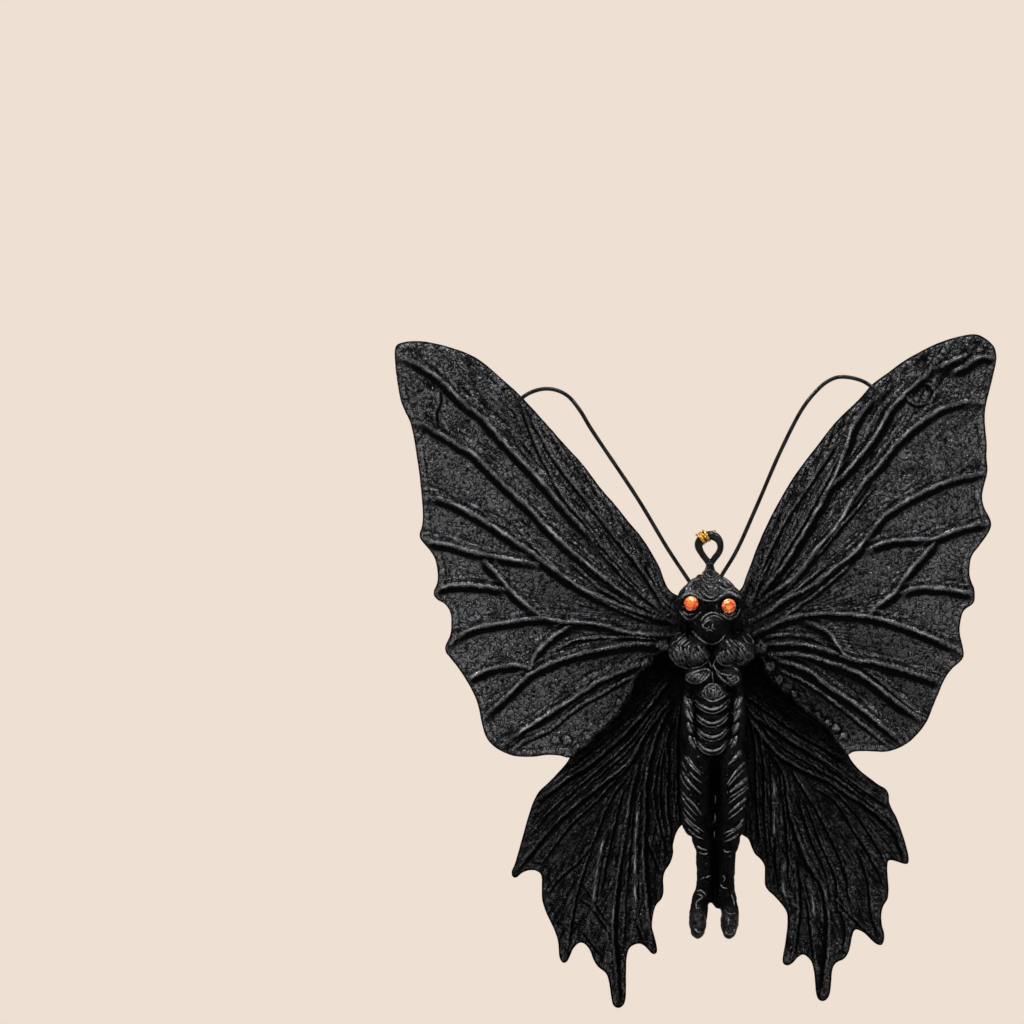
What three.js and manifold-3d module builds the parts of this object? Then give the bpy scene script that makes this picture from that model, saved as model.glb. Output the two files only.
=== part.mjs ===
// Moth hanging ornament: a cast resin moth figure with four wings pinned to its flanks, wire
// antennae, cut-glass eyes, and a wire eye in its crown that carries a loop of gold thread.
// Millimetres, +Z up. The figure faces -Y, and +X is at the viewer's right.
// The origin is the inside top of the hanging eye, the point that a hook or a twig carries.

import * as THREE from "three";
import { TessellateModifier } from "three/addons/modifiers/TessellateModifier.js";
import { mergeVertices } from "three/addons/utils/BufferGeometryUtils.js";
import Module from "manifold-3d";

const wasm = await Module();
wasm.setup();

// Fits
const GLUE_GAP = 0.3; // between faces that are glued or lie on each other
const BORE_GAP = 0.2; // round a pin, wire or shank in its bore

// Hanging eye: a teardrop of wire, a neck, a collar on the crown and a shank in the head
const EYE_WIRE = 1.05;
const EYE_INNER_RADIUS = 1.25;
const EYE_LEG_TURN = 125; // degrees from the top to where a leg leaves the round
const NECK_DIAMETER = 1.46;
const NECK_LENGTH = 1.84; // from where the legs meet to the underside of the collar
const LEG_SINK = 0.4; // how far the legs run down into the neck
const COLLAR_DIAMETER = 2.75;
const COLLAR_RIM = 0.3;
const COLLAR_FLARE = 0.7;
const SHANK_DIAMETER = 1.2;
const SHANK_LENGTH = 3.4;

// Body casting, in the figure's own frame, whose origin is the top of the crown
const BODY_CENTRE_X = 0.5;
const BODY_CENTRE_Y = -0.5;
const TORSO_DEPTH_RATIO = 1.02;
const TORSO_PROFILE = [
  [0, -44],
  [2.8, -43],
  [4.5, -37],
  [4.7, -30],
  [4.4, -24],
  [4.9, -18],
  [4.6, -13],
  [3.8, -8.5],
  [0, -7],
]; // half width against height
const BELLY_PLATES = 4;
const BELLY_PLATE_PITCH = 2.3;
const BROAD_FORM = 2.6; // forms with a larger half width get more facets

// One form on the centre line each: centre, then half width, half depth and half height
const CENTRE_FORMS = {
  head: { at: [0, -2.6, -5.9], size: [5.5, 4.7, 5.9] },
  brow: { at: [0, -5.2, -4.4], size: [1.4, 1.7, 3.4] },
  snout: { at: [0, -6.3, -8.7], size: [2.3, 2.2, 2.1] },
  jaw: { at: [0.1, -4.6, -10.1], size: [3.2, 2.8, 2.0] },
  sternum: { at: [0.5, -4.9, -20.1], size: [2.5, 1.8, 1.7] },
  first_plate: { at: [0.4, -4.3, -22.3], size: [2.8, 2.2, 1.4] },
  leg_web: { at: [0.9, -0.8, -47.5], size: [1.7, 1.8, 8.5] },
};

// Pairs of forms at both sides of a centre line
const PAIRED_FORMS = {
  temple: { centre: 0, spread: 3.1, at: [-2.4, -3.0], size: [2.6, 3.0, 2.8] },
  eye_mound: { centre: 0, spread: 3.2, at: [-4.3, -5.0], size: [2.5, 2.3, 2.5] },
  cheek: { centre: 0, spread: 3.5, at: [-3.2, -8.4], size: [2.2, 2.6, 2.4] },
  inner_ruff: { centre: 0.3, spread: 2.2, at: [-4.2, -12.7], size: [2.5, 3.2, 2.7] },
  outer_ruff: { centre: 0.3, spread: 5.0, at: [-2.6, -12.5], size: [2.5, 3.2, 3.0] },
  pectoral: { centre: 0.6, spread: 2.4, at: [-4.2, -17.4], size: [2.5, 2.6, 2.0] },
  flank: { centre: 0.6, spread: 4.0, at: [-2.0, -24.0], size: [1.6, 3.0, 6.0] },
  thigh: { centre: 0.7, spread: 2.9, at: [-2.6, -35.2], size: [3.0, 3.9, 7.9] },
  shin: { centre: 0.95, spread: 1.95, at: [-1.7, -49.0], size: [1.4, 2.2, 8.5] },
  foot: { centre: 0.55, spread: 2.7, at: [-2.6, -59.2], size: [1.55, 3.4, 2.9] },
};

// Cut-glass eyes
const GEM_DIAMETER = 2.5;
const GEM_TABLE_DIAMETER = 1.4;
const GEM_CROWN = 0.5;
const GEM_GIRDLE = 0.15;
const GEM_PAVILION = 0.9;
const GEM_FACETS = 8;
const GEM_TURN = 10; // degrees outward from straight ahead
const GEM_PROUD = 0.45; // how far the table stands in front of its mound

// Wings: two thin castings on each side, one behind the other
const FOREWING_THICKNESS = 2.4;
const HINDWING_THICKNESS = 2.0;
const FOREWING_FRONT_Y = -0.5;
const WING_EDGE = 0.3; // bevel round a wing's rim
const WING_SWEEP = 5; // how far the wings bend back at the reach below
const WING_SWEEP_REACH = 50;
const WING_SWEEP_START = 12; // the wing roots stay flat to here
const LEFT_FOREWING_SPAN = 46;
const LEFT_FOREWING_HEIGHT = 72;
const RIGHT_FOREWING_SPAN = 40.3;
const RIGHT_FOREWING_HEIGHT = 72.2;
const LEFT_HINDWING_SPAN = 28.9;
const LEFT_HINDWING_HEIGHT = 61.4;
const RIGHT_HINDWING_SPAN = 28;
const RIGHT_HINDWING_HEIGHT = 59.2;
const FOREWING_ROOT_Z = -8.5;
const LEFT_FOREWING_ROOT_X = -8.4;
const RIGHT_FOREWING_ROOT_X = 8.8;
const HINDWING_ROOT_Z = -18;
const LEFT_HINDWING_ROOT_X = -5.2;
const RIGHT_HINDWING_ROOT_X = 6;
const VEIN_WIDTH = 0.9;
const VEIN_SINK = 0.12; // how far a vein's widest line lies under the wing's face
const OUTLINE_STEP = 2.3;
const VEIN_STEP = 5;
const WING_FACET = 11; // longest edge left when a wing is bent

// Steel pins that carry the glued wings, square to the body's flanks
const PIN_DIAMETER = 0.8;
const PIN_LENGTH = 8.5;
const FOREWING_PIN_X = 5.6; // from the body's centre to the middle of the pin
const FOREWING_PIN_Z = -10;
const HINDWING_PIN_X = 4.9;
const HINDWING_PIN_Z = -22;

// Antennae
const ANTENNA_WIRE = 0.7;
const ANTENNA_ROOT_Y = -2.0;
const ANTENNA_SOCKET = 2.4; // depth of the wire in the head
const ANTENNA_STEP = 2.4;

// Gold thread: turns round the hanging eye's upper left, a knot behind it and a loop
const THREAD = 0.6;
const HITCH_TURNS = 1.5;
const HITCH_PITCH = 1.1;
const HITCH_ANGLE = -32; // degrees from the top of the eye to the middle of the turns
const HITCH_PLAY = 0.3; // between the wire and the turns, which lie on a straight axis
const HITCH_STEPS = 36;
const HITCH_SIDES = 6;
const KNOT_DIAMETER = 2;
const KNOT_BACK = 3.9; // from the wire's middle back to the knot's
const KNOT_RISE = 0.2;

// Wing drawings, seen from the front on a grid with x to the right and y down. Only the proportions
// count: each drawing is scaled to its wing's span and height about its root.
// An outline is a list of smooth stretches that meet at corners.
const LEFT_FOREWING = {
  root: [661, 625],
  outline: [
    [
      [675, 594], [652, 562], [640, 536], [603, 490], [545, 421], [512, 387], [475, 357], [448, 346],
      [413, 340], [397, 343], [394, 354], [399, 390], [412, 428], [420, 482], [423, 520], [420, 540],
    ],
    [[420, 540], [430, 550], [438, 568], [437, 583], [433, 595]],
    [[433, 595], [446, 606], [451, 620], [450, 636], [446, 652]],
    [[446, 652], [460, 671], [473, 691], [483, 720], [494, 745], [512, 755], [541, 755], [570, 758]],
    [[570, 758], [593, 736], [616, 713], [632, 686], [649, 664], [661, 655]],
    [[661, 655], [700, 652]],
    [[700, 652], [700, 602]],
    [[700, 602], [675, 594]],
  ],
  veins: [
    [[662, 599], [591, 534], [532, 468], [470, 404], [420, 366]],
    [[644, 613], [562, 546], [498, 477], [441, 435], [416, 424]],
    [[644, 628], [568, 584], [509, 534], [455, 504], [428, 498]],
    [[537, 564], [482, 554], [428, 542]],
    [[652, 634], [590, 623], [532, 619], [475, 630], [454, 642]],
    [[647, 645], [580, 651], [530, 672], [489, 714]],
    [[640, 663], [568, 702], [506, 743]],
  ],
  antenna: [
    [688, 579.5], [668.5, 550], [638, 499], [591, 428.5], [579.5, 409.5], [568, 396], [556, 390],
    [543, 389], [529.5, 393], [521, 399], [514, 408],
  ],
};
const RIGHT_FOREWING = {
  root: [761, 625],
  outline: [
    [
      [740, 590], [754, 559], [767, 521], [784, 494], [820, 445], [856, 404], [881, 377], [910, 357],
      [946, 341], [971, 335], [990, 341], [995, 359], [988, 392], [985, 425], [985, 462], [981, 497],
      [990, 526],
    ],
    [[990, 526], [980, 544], [970, 558], [969, 578], [974, 598]],
    [[974, 598], [962, 614], [959, 632], [963, 654]],
    [[963, 654], [947, 675], [935, 700], [922, 728], [900, 746], [872, 750], [848, 755]],
    [[848, 755], [830, 736], [801, 707], [783, 682], [761, 658]],
    [[761, 658], [722, 652]],
    [[722, 652], [722, 600]],
    [[722, 600], [740, 590]],
  ],
  veins: [
    [[777, 584], [809, 537], [835, 480], [892, 415], [933, 370]],
    [[765, 602], [817, 549], [867, 486], [910, 431], [976, 403]],
    [[767, 610], [853, 556], [903, 503], [976, 475]],
    [[869, 549], [917, 539], [980, 526]],
    [[777, 617], [849, 614], [910, 629], [954, 650]],
    [[774, 628], [820, 637], [863, 662], [934, 679]],
    [[770, 646], [838, 662], [896, 700], [918, 717]],
    [[781, 655], [831, 685], [894, 737]],
  ],
  antenna: [
    [723, 573.5], [736, 552], [756, 508], [781, 450.5], [802.5, 409], [815, 393], [826, 383], [837, 378],
    [849, 378], [862, 381.5], [871, 387], [879, 394],
  ],
};
const LEFT_HINDWING = {
  root: [680, 680],
  outline: [
    [[570, 758], [541, 791], [531, 811], [523, 837], [512, 876]],
    [[512, 876], [525, 871], [536, 870], [542, 882], [543, 901], [554, 928], [562, 961]],
    [
      [562, 961], [573, 946], [582, 942], [592, 956], [604, 971], [610, 992], [618, 1007], [625, 992],
      [626, 958], [635, 942], [656, 953],
    ],
    [[656, 953], [652, 928], [653, 914], [662, 896], [664, 871], [672, 853], [672, 839], [681, 825]],
    [[681, 825], [700, 815]],
    [[700, 815], [700, 650]],
    [[700, 650], [660, 655], [620, 678], [588, 712], [574, 738], [570, 758]],
  ],
  veins: [
    [[664, 716], [628, 760], [571, 807], [522, 866]],
    [[624, 773], [600, 807], [571, 867], [557, 889]],
    [[634, 768], [594, 847], [568, 919], [565, 946]],
    [[642, 740], [624, 827], [612, 938], [617, 992]],
    [[662, 720], [642, 789], [648, 851], [656, 867]],
    [[644, 855], [634, 909], [650, 942]],
  ],
};
const RIGHT_HINDWING = {
  root: [745, 680],
  outline: [
    [[848, 755], [864, 774], [886, 789], [890, 806], [900, 829], [908, 860]],
    [[908, 860], [895, 859], [887, 864], [887, 888], [880, 915], [882, 943]],
    [
      [882, 943], [866, 932], [854, 930], [848, 950], [834, 963], [831, 981], [822, 999], [815, 985],
      [811, 962], [799, 953], [784, 964],
    ],
    [[784, 964], [788, 930], [786, 912], [768, 890], [765, 872], [754, 852], [744, 835]],
    [[744, 835], [722, 820]],
    [[722, 820], [722, 655]],
    [[722, 655], [765, 655], [800, 680], [830, 715], [845, 738], [848, 755]],
  ],
  veins: [
    [[750, 712], [790, 764], [850, 794], [900, 848]],
    [[782, 761], [809, 806], [834, 856], [832, 895]],
    [[815, 786], [846, 817], [879, 888]],
    [[784, 782], [807, 866], [826, 950], [823, 985]],
    [[787, 852], [795, 915], [789, 950]],
    [[834, 897], [852, 915], [872, 934]],
  ],
};

// The loop's route from the knot down behind the back, round its lower end and up again
const LOOP_ROUTE = [
  [-1.5, 3.35, -0.6], [-1.68, 3.25, -1.5], [-1.38, 3.1, -2.6], [-0.75, 3.0, -3.5], [-0.2, 3.0, -4.4],
  [0.05, 3.0, -5.6], [0.1, 3.05, -8], [0.1, 3.4, -11], [0.05, 4.2, -14.5], [-0.1, 4.95, -18],
  [-0.5, 5.3, -24], [-1.2, 5.4, -34], [-1.7, 5.3, -45], [-1.8, 5.2, -55], [-1.5, 5.2, -57.6],
  [-0.7, 5.2, -59.1], [0.3, 5.2, -59.4], [1.2, 5.2, -58.8], [1.8, 5.2, -57.2], [2.0, 5.2, -54.5],
  [1.8, 5.5, -45], [1.3, 5.8, -34], [0.7, 6.2, -24], [0.3, 6.0, -18], [0.1, 5.3, -14.5], [0.1, 4.55, -11],
  [0.1, 4.2, -8], [0.05, 4.1, -5.6], [-0.2, 4.1, -4.4], [-0.75, 4.15, -3.5], [-1.38, 4.2, -2.6],
  [-1.68, 4.35, -1.5], [-1.5, 4.45, -0.6],
];
const LOOP_STEP = 2;
const LOOP_SIDES = 8;

// Small helpers for solids

const MERGE_DISTANCE = 1e-4;
const radians = THREE.MathUtils.degToRad;
const along = (from, to, share) => from + (to - from) * share;

// A closed three.js geometry as a solid that can be joined and cut
function solid(geometry) {
  const bare = new THREE.BufferGeometry();
  bare.setAttribute("position", geometry.getAttribute("position"));
  bare.setIndex(geometry.index);
  const merged = mergeVertices(bare, MERGE_DISTANCE);
  const vertProperties = merged.getAttribute("position").array;
  const triVerts = new Uint32Array(merged.index.array);
  return new wasm.Manifold(new wasm.Mesh({ numProp: 3, vertProperties, triVerts }));
}

function geometryOf(made) {
  const { numProp, vertProperties, triVerts } = made.getMesh();
  const geometry = new THREE.BufferGeometry();
  const vertices = new THREE.InterleavedBuffer(vertProperties, numProp);
  geometry.setAttribute("position", new THREE.InterleavedBufferAttribute(vertices, 3, 0));
  geometry.setIndex(new THREE.BufferAttribute(triVerts, 1));
  return geometry;
}

const joined = (solids) => solids.reduce((sum, next) => sum.add(next));
const cut = (from, tools) => tools.reduce((rest, tool) => rest.subtract(tool), from);

function circle(radius, sides) {
  const points = [];
  for (let i = 0; i < sides; i++) {
    const angle = (2 * Math.PI * i) / sides;
    points.push(new THREE.Vector2(radius * Math.cos(angle), radius * Math.sin(angle)));
  }
  return new THREE.Shape(points);
}

function tube(points, diameter, sides, steps) {
  const extrudePath = new THREE.CatmullRomCurve3(points);
  return new THREE.ExtrudeGeometry(circle(diameter / 2, sides), { extrudePath, steps, bevelEnabled: false });
}

const steppedTube = (points, diameter, sides, step) =>
  tube(points, diameter, sides, Math.ceil(new THREE.CatmullRomCurve3(points).getLength() / step));

// A turned form about Z from a profile of [radius, height], listed from the bottom up
function turned(profile, segments) {
  const points = profile.map(([radius, height]) => new THREE.Vector2(radius, height));
  return new THREE.LatheGeometry(points, segments).rotateX(Math.PI / 2);
}

// A rod between two points
function rod(from, to, diameter, sides) {
  const geometry = new THREE.CylinderGeometry(diameter / 2, diameter / 2, from.distanceTo(to), sides);
  const turn = new THREE.Quaternion().setFromUnitVectors(
    new THREE.Vector3(0, 1, 0),
    to.clone().sub(from).normalize(),
  );
  const middle = from.clone().add(to).divideScalar(2);
  return geometry.applyQuaternion(turn).translate(middle.x, middle.y, middle.z);
}

function mesh(name, geometry, color, roughness, metalness) {
  const made = new THREE.Mesh(geometry, new THREE.MeshStandardMaterial({ color, roughness, metalness }));
  made.name = name;
  return made;
}

const RESIN = [0x1a191b, 0.36, 0];
const BLACK_WIRE = [0x151416, 0.3, 0.2];
const STEEL = [0x8d8f92, 0.35, 1];
const GLASS = [0xd9481c, 0.08, 0];
const GOLD = [0xd9a83a, 0.32, 0.8];

// Hanging eye

const eyeMeanRadius = EYE_INNER_RADIUS + EYE_WIRE / 2;
const eyeCentreZ = -EYE_INNER_RADIUS;
const legTurn = radians(EYE_LEG_TURN);

const onEye = (angle) =>
  new THREE.Vector3(eyeMeanRadius * Math.sin(angle), 0, eyeCentreZ + eyeMeanRadius * Math.cos(angle));

const legTop = onEye(legTurn);
const legEndX = (NECK_DIAMETER - EYE_WIRE) / 2;
const legEndZ = legTop.z + ((legTop.x - legEndX) * Math.sin(legTurn)) / Math.cos(legTurn);
const collarBottom = legEndZ - NECK_LENGTH;
const crownZ = collarBottom - GLUE_GAP;

function hangingEye() {
  const ARC_PARTS = 10;
  const TUBE_STEPS = 32;
  const points = [new THREE.Vector3(-legEndX, 0, legEndZ - LEG_SINK), new THREE.Vector3(-legEndX, 0, legEndZ)];
  for (let i = 0; i <= ARC_PARTS; i++) points.push(onEye(along(-legTurn, legTurn, i / ARC_PARTS)));
  points.push(new THREE.Vector3(legEndX, 0, legEndZ), new THREE.Vector3(legEndX, 0, legEndZ - LEG_SINK));
  const teardrop = solid(tube(points, EYE_WIRE, 8, TUBE_STEPS));
  const neck = NECK_DIAMETER / 2;
  const collar = COLLAR_DIAMETER / 2;
  const shank = SHANK_DIAMETER / 2;
  const stem = turned(
    [
      [0, collarBottom - SHANK_LENGTH],
      [shank, collarBottom - SHANK_LENGTH],
      [shank, collarBottom],
      [collar, collarBottom],
      [collar, collarBottom + COLLAR_RIM],
      [neck, collarBottom + COLLAR_RIM + COLLAR_FLARE],
      [neck, legEndZ],
      [0, legEndZ + LEG_SINK / 2],
    ],
    12,
  );
  return geometryOf(teardrop.add(solid(stem)));
}

// Body casting

const sides = [
  { name: "left", sign: -1 },
  { name: "right", sign: 1 },
];

function ellipsoid([x, y, z], [width, depth, height], grow) {
  const [columns, rows] = width > BROAD_FORM ? [14, 10] : [10, 7];
  const ball = new THREE.SphereGeometry(1, columns, rows).rotateX(Math.PI / 2);
  return ball.scale(width + grow, depth + grow, height + grow).translate(x, y, z);
}

const pairedPlace = (form, sign) => [form.centre + sign * form.spread, ...form.at];

// The whole body as one solid, grown all round by a clearance where it is used as a cutter
function bodyForms(grow) {
  const profile = TORSO_PROFILE.map(([radius, height], i) => {
    const end = i === 0 || i === TORSO_PROFILE.length - 1;
    const tip = i === 0 ? -grow : grow;
    return end ? [0, height + tip] : [radius + grow, height];
  });
  const torso = turned(profile, 16).scale(1, TORSO_DEPTH_RATIO, 1).translate(BODY_CENTRE_X, BODY_CENTRE_Y, 0);
  const forms = [torso];
  for (const form of Object.values(CENTRE_FORMS)) forms.push(ellipsoid(form.at, form.size, grow));
  const [plateX, plateY, plateZ] = CENTRE_FORMS.first_plate.at;
  for (let i = 1; i < BELLY_PLATES; i++) {
    const place = [plateX, plateY, plateZ - i * BELLY_PLATE_PITCH];
    forms.push(ellipsoid(place, CENTRE_FORMS.first_plate.size, grow));
  }
  for (const form of Object.values(PAIRED_FORMS))
    for (const { sign } of sides) forms.push(ellipsoid(pairedPlace(form, sign), form.size, grow));
  return joined(forms.map(solid));
}

// Cut-glass eyes

const gemMound = PAIRED_FORMS.eye_mound;
const gemHeight = GEM_CROWN + GEM_GIRDLE;

// The gem's own frame: its table faces +Z, and the foot of its girdle is at 0
function gem(clearance) {
  const girdle = GEM_DIAMETER / 2 + clearance;
  return turned(
    [
      [0, -GEM_PAVILION - clearance],
      [girdle, 0],
      [girdle, GEM_GIRDLE],
      [GEM_TABLE_DIAMETER / 2, gemHeight],
      [0, gemHeight],
    ],
    GEM_FACETS,
  );
}

// Turns the gem's frame to face forward and a little outward, in front of its mound
function gemPlace(sign) {
  const [x, y, z] = pairedPlace(gemMound, sign);
  const front = y - gemMound.size[1] - GEM_PROUD + gemHeight;
  const turn = new THREE.Euler(Math.PI / 2, 0, sign * radians(GEM_TURN), "ZXY");
  return new THREE.Matrix4().makeRotationFromEuler(turn).setPosition(x, front, z);
}

// A bore as wide as the girdle, open to the front, with the pavilion's seat at its foot
function gemSocket(sign) {
  const mouth = GEM_DIAMETER / 2 + BORE_GAP;
  const seat = turned(
    [
      [0, -GEM_PAVILION - GLUE_GAP],
      [mouth, -GLUE_GAP],
      [mouth, gemHeight * 2],
      [0, gemHeight * 2],
    ],
    GEM_FACETS * 2,
  );
  return solid(seat.applyMatrix4(gemPlace(sign)));
}

// Wings

const foreLayer = { front: FOREWING_FRONT_Y, thickness: FOREWING_THICKNESS };
const hindLayer = { front: FOREWING_FRONT_Y + FOREWING_THICKNESS + GLUE_GAP, thickness: HINDWING_THICKNESS };

const wings = [
  {
    name: "left_forewing",
    drawing: LEFT_FOREWING,
    layer: foreLayer,
    span: LEFT_FOREWING_SPAN,
    height: LEFT_FOREWING_HEIGHT,
    rootX: LEFT_FOREWING_ROOT_X,
    rootZ: FOREWING_ROOT_Z,
    pinX: BODY_CENTRE_X - FOREWING_PIN_X,
    pinZ: FOREWING_PIN_Z,
  },
  {
    name: "right_forewing",
    drawing: RIGHT_FOREWING,
    layer: foreLayer,
    span: RIGHT_FOREWING_SPAN,
    height: RIGHT_FOREWING_HEIGHT,
    rootX: RIGHT_FOREWING_ROOT_X,
    rootZ: FOREWING_ROOT_Z,
    pinX: BODY_CENTRE_X + FOREWING_PIN_X,
    pinZ: FOREWING_PIN_Z,
  },
  {
    name: "left_hindwing",
    drawing: LEFT_HINDWING,
    layer: hindLayer,
    span: LEFT_HINDWING_SPAN,
    height: LEFT_HINDWING_HEIGHT,
    rootX: LEFT_HINDWING_ROOT_X,
    rootZ: HINDWING_ROOT_Z,
    pinX: BODY_CENTRE_X - HINDWING_PIN_X,
    pinZ: HINDWING_PIN_Z,
  },
  {
    name: "right_hindwing",
    drawing: RIGHT_HINDWING,
    layer: hindLayer,
    span: RIGHT_HINDWING_SPAN,
    height: RIGHT_HINDWING_HEIGHT,
    rootX: RIGHT_HINDWING_ROOT_X,
    rootZ: HINDWING_ROOT_Z,
    pinX: BODY_CENTRE_X + HINDWING_PIN_X,
    pinZ: HINDWING_PIN_Z,
  },
];

// How far the wings bend back at a distance from the body
function sweepBack(x) {
  const share = (Math.abs(x) - WING_SWEEP_START) / (WING_SWEEP_REACH - WING_SWEEP_START);
  return WING_SWEEP * Math.max(0, share) ** 2;
}

// From a wing's drawing to its place in the figure's frame, as [x, z]
function drawingScale({ drawing, span, height, rootX, rootZ }) {
  const points = drawing.outline.flat();
  const [gridX, gridY] = drawing.root;
  const reach = Math.max(...points.map(([x]) => Math.sign(rootX) * (x - gridX)));
  const rows = points.map(([, y]) => y);
  const perColumn = span / reach;
  const perRow = height / (Math.max(...rows) - Math.min(...rows));
  return ([x, y]) => [rootX + (x - gridX) * perColumn, rootZ + (gridY - y) * perRow];
}

function wingPlate(wing, place) {
  const points = wing.drawing.outline.flatMap((stretch) => {
    const curve = new THREE.SplineCurve(stretch.map((point) => new THREE.Vector2(...place(point))));
    return curve.getSpacedPoints(Math.ceil(curve.getLength() / OUTLINE_STEP)).slice(0, -1);
  });
  const plate = new THREE.ExtrudeGeometry(new THREE.Shape(points), {
    depth: wing.layer.thickness - 2 * WING_EDGE,
    bevelThickness: WING_EDGE,
    bevelSize: WING_EDGE,
    bevelOffset: -WING_EDGE,
    bevelSegments: 1,
  });
  plate.rotateX(Math.PI / 2);
  return plate.translate(0, wing.layer.front + wing.layer.thickness - WING_EDGE, 0);
}

// Raised veins: square bars set corner up in the wing's front face
function wingVein(points, wing, place) {
  const line = points.map((point) => {
    const [x, z] = place(point);
    return new THREE.Vector3(x, wing.layer.front + VEIN_SINK, z);
  });
  return steppedTube(line, VEIN_WIDTH, 4, VEIN_STEP);
}

function wingPinEnds({ layer, pinX, pinZ }, extra) {
  const y = layer.front + layer.thickness / 2;
  const half = PIN_LENGTH / 2 + extra;
  return [new THREE.Vector3(pinX - half, y, pinZ), new THREE.Vector3(pinX + half, y, pinZ)];
}

const pinBore = (wing) => solid(rod(...wingPinEnds(wing, GLUE_GAP), PIN_DIAMETER + 2 * BORE_GAP, 10));

function wingGeometry(wing, bodyCutter) {
  const place = drawingScale(wing);
  const veins = wing.drawing.veins.map((points) => solid(wingVein(points, wing, place)));
  const flat = cut(joined([solid(wingPlate(wing, place)), ...veins]), [bodyCutter, pinBore(wing)]);
  const geometry = new TessellateModifier(WING_FACET, 12).modify(geometryOf(flat));
  const position = geometry.getAttribute("position");
  for (let i = 0; i < position.count; i++) position.setY(i, position.getY(i) + sweepBack(position.getX(i)));
  return geometry;
}

// Antennae: from a socket in the head to the front face of the forewing

function antennaPath(wing) {
  const place = drawingScale(wing);
  const line = wing.drawing.antenna.map(place);
  const [tipX] = line.at(-1);
  const tipY = FOREWING_FRONT_Y + sweepBack(tipX) - GLUE_GAP - ANTENNA_WIRE / 2;
  const points = line.map(
    ([x, z], i) => new THREE.Vector3(x, along(ANTENNA_ROOT_Y, tipY, i / (line.length - 1)), z),
  );
  const inward = points[0].clone().sub(points[1]).normalize();
  return { points, inward };
}

function antenna(wing) {
  const { points, inward } = antennaPath(wing);
  const foot = points[0].clone().addScaledVector(inward, ANTENNA_SOCKET);
  return steppedTube([foot, ...points], ANTENNA_WIRE, 6, ANTENNA_STEP);
}

function antennaSocket(wing) {
  const { points, inward } = antennaPath(wing);
  const foot = points[0].clone().addScaledVector(inward, ANTENNA_SOCKET + GLUE_GAP);
  const mouth = points[0].clone().addScaledVector(inward, -ANTENNA_SOCKET);
  return solid(rod(foot, mouth, ANTENNA_WIRE + 2 * BORE_GAP, 10));
}

// Gold thread

const hitchAngle = radians(HITCH_ANGLE);
const knotCentre = onEye(hitchAngle).add(new THREE.Vector3(0, KNOT_BACK, KNOT_RISE));

// The turns lie on a straight axis beside the wire, and both tails run back to the knot
function hitchPath() {
  const outward = new THREE.Vector3(Math.sin(hitchAngle), 0, Math.cos(hitchAngle));
  const axis = new THREE.Vector3(Math.cos(hitchAngle), 0, -Math.sin(hitchAngle));
  const radius = (EYE_WIRE + THREAD) / 2 + HITCH_PLAY;
  const points = [];
  for (let i = 0; i <= HITCH_STEPS; i++) {
    const turn = Math.PI + (2 * Math.PI * HITCH_TURNS * i) / HITCH_STEPS;
    const offset = HITCH_PITCH * HITCH_TURNS * (0.5 - i / HITCH_STEPS);
    const point = onEye(hitchAngle).addScaledVector(axis, offset);
    point.addScaledVector(outward, radius * Math.cos(turn));
    point.y += radius * Math.sin(turn);
    points.push(point);
  }
  return [...hitchTail(points[0]).reverse(), ...points, ...hitchTail(points.at(-1))];
}

// A tail leaves its turn straight back, then runs square to the knot and stops short of it
function hitchTail(from) {
  const back = from.clone().add(new THREE.Vector3(0, THREAD, 0));
  const outward = back.clone().sub(knotCentre).normalize();
  const end = knotCentre.clone().addScaledVector(outward, KNOT_DIAMETER / 2 + GLUE_GAP);
  const straight = end.clone().addScaledVector(outward, THREAD);
  return [back, straight, end];
}

// The least gap between two turns of a winding, from points on its centre line
function leastGap(points, diameter, apart) {
  let least = Infinity;
  for (let i = 0; i < points.length; i++)
    for (let j = i + apart; j < points.length; j++) least = Math.min(least, points[i].distanceTo(points[j]));
  return least - diameter;
}

function threadHitch() {
  const points = hitchPath();
  const HALF_TURN = Math.round(HITCH_STEPS / HITCH_TURNS / 2);
  console.log("thread_hitch least gap to itself", leastGap(points, THREAD, HALF_TURN).toFixed(2), "mm");
  return tube(points, THREAD, HITCH_SIDES, points.length + HITCH_STEPS / 2);
}

const threadLoop = () =>
  steppedTube(
    LOOP_ROUTE.map((point) => new THREE.Vector3(...point)),
    THREAD,
    LOOP_SIDES,
    LOOP_STEP,
  );

// The figure hangs from the eye with its crown at the figure frame's origin

const figure = new THREE.Group();
figure.position.z = crownZ;

const [leftForewing, rightForewing] = wings;
const shankBore = rod(
  new THREE.Vector3(0, 0, GLUE_GAP),
  new THREE.Vector3(0, 0, -SHANK_LENGTH),
  SHANK_DIAMETER + 2 * BORE_GAP,
  12,
);
const body = cut(bodyForms(0), [
  solid(shankBore),
  ...[leftForewing, rightForewing].map(antennaSocket),
  ...sides.map(({ sign }) => gemSocket(sign)),
  ...wings.map(pinBore),
]);
figure.add(mesh("body_casting", geometryOf(body), ...RESIN));

const bodyCutter = bodyForms(GLUE_GAP);
for (const wing of wings) {
  figure.add(mesh(wing.name, wingGeometry(wing, bodyCutter), ...RESIN));
  const [from, to] = wingPinEnds(wing, 0);
  figure.add(mesh(wing.name + "_pin", rod(from, to, PIN_DIAMETER, 10), ...STEEL));
}

figure.add(mesh("left_antenna", antenna(leftForewing), ...BLACK_WIRE));
figure.add(mesh("right_antenna", antenna(rightForewing), ...BLACK_WIRE));

for (const { name, sign } of sides) {
  const stone = mesh(name + "_eye_gem", gem(0), ...GLASS);
  stone.applyMatrix4(gemPlace(sign));
  figure.add(stone);
}

const knot = mesh("thread_knot", new THREE.SphereGeometry(KNOT_DIAMETER / 2, 10, 7), ...GOLD);
knot.position.copy(knotCentre);

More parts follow.
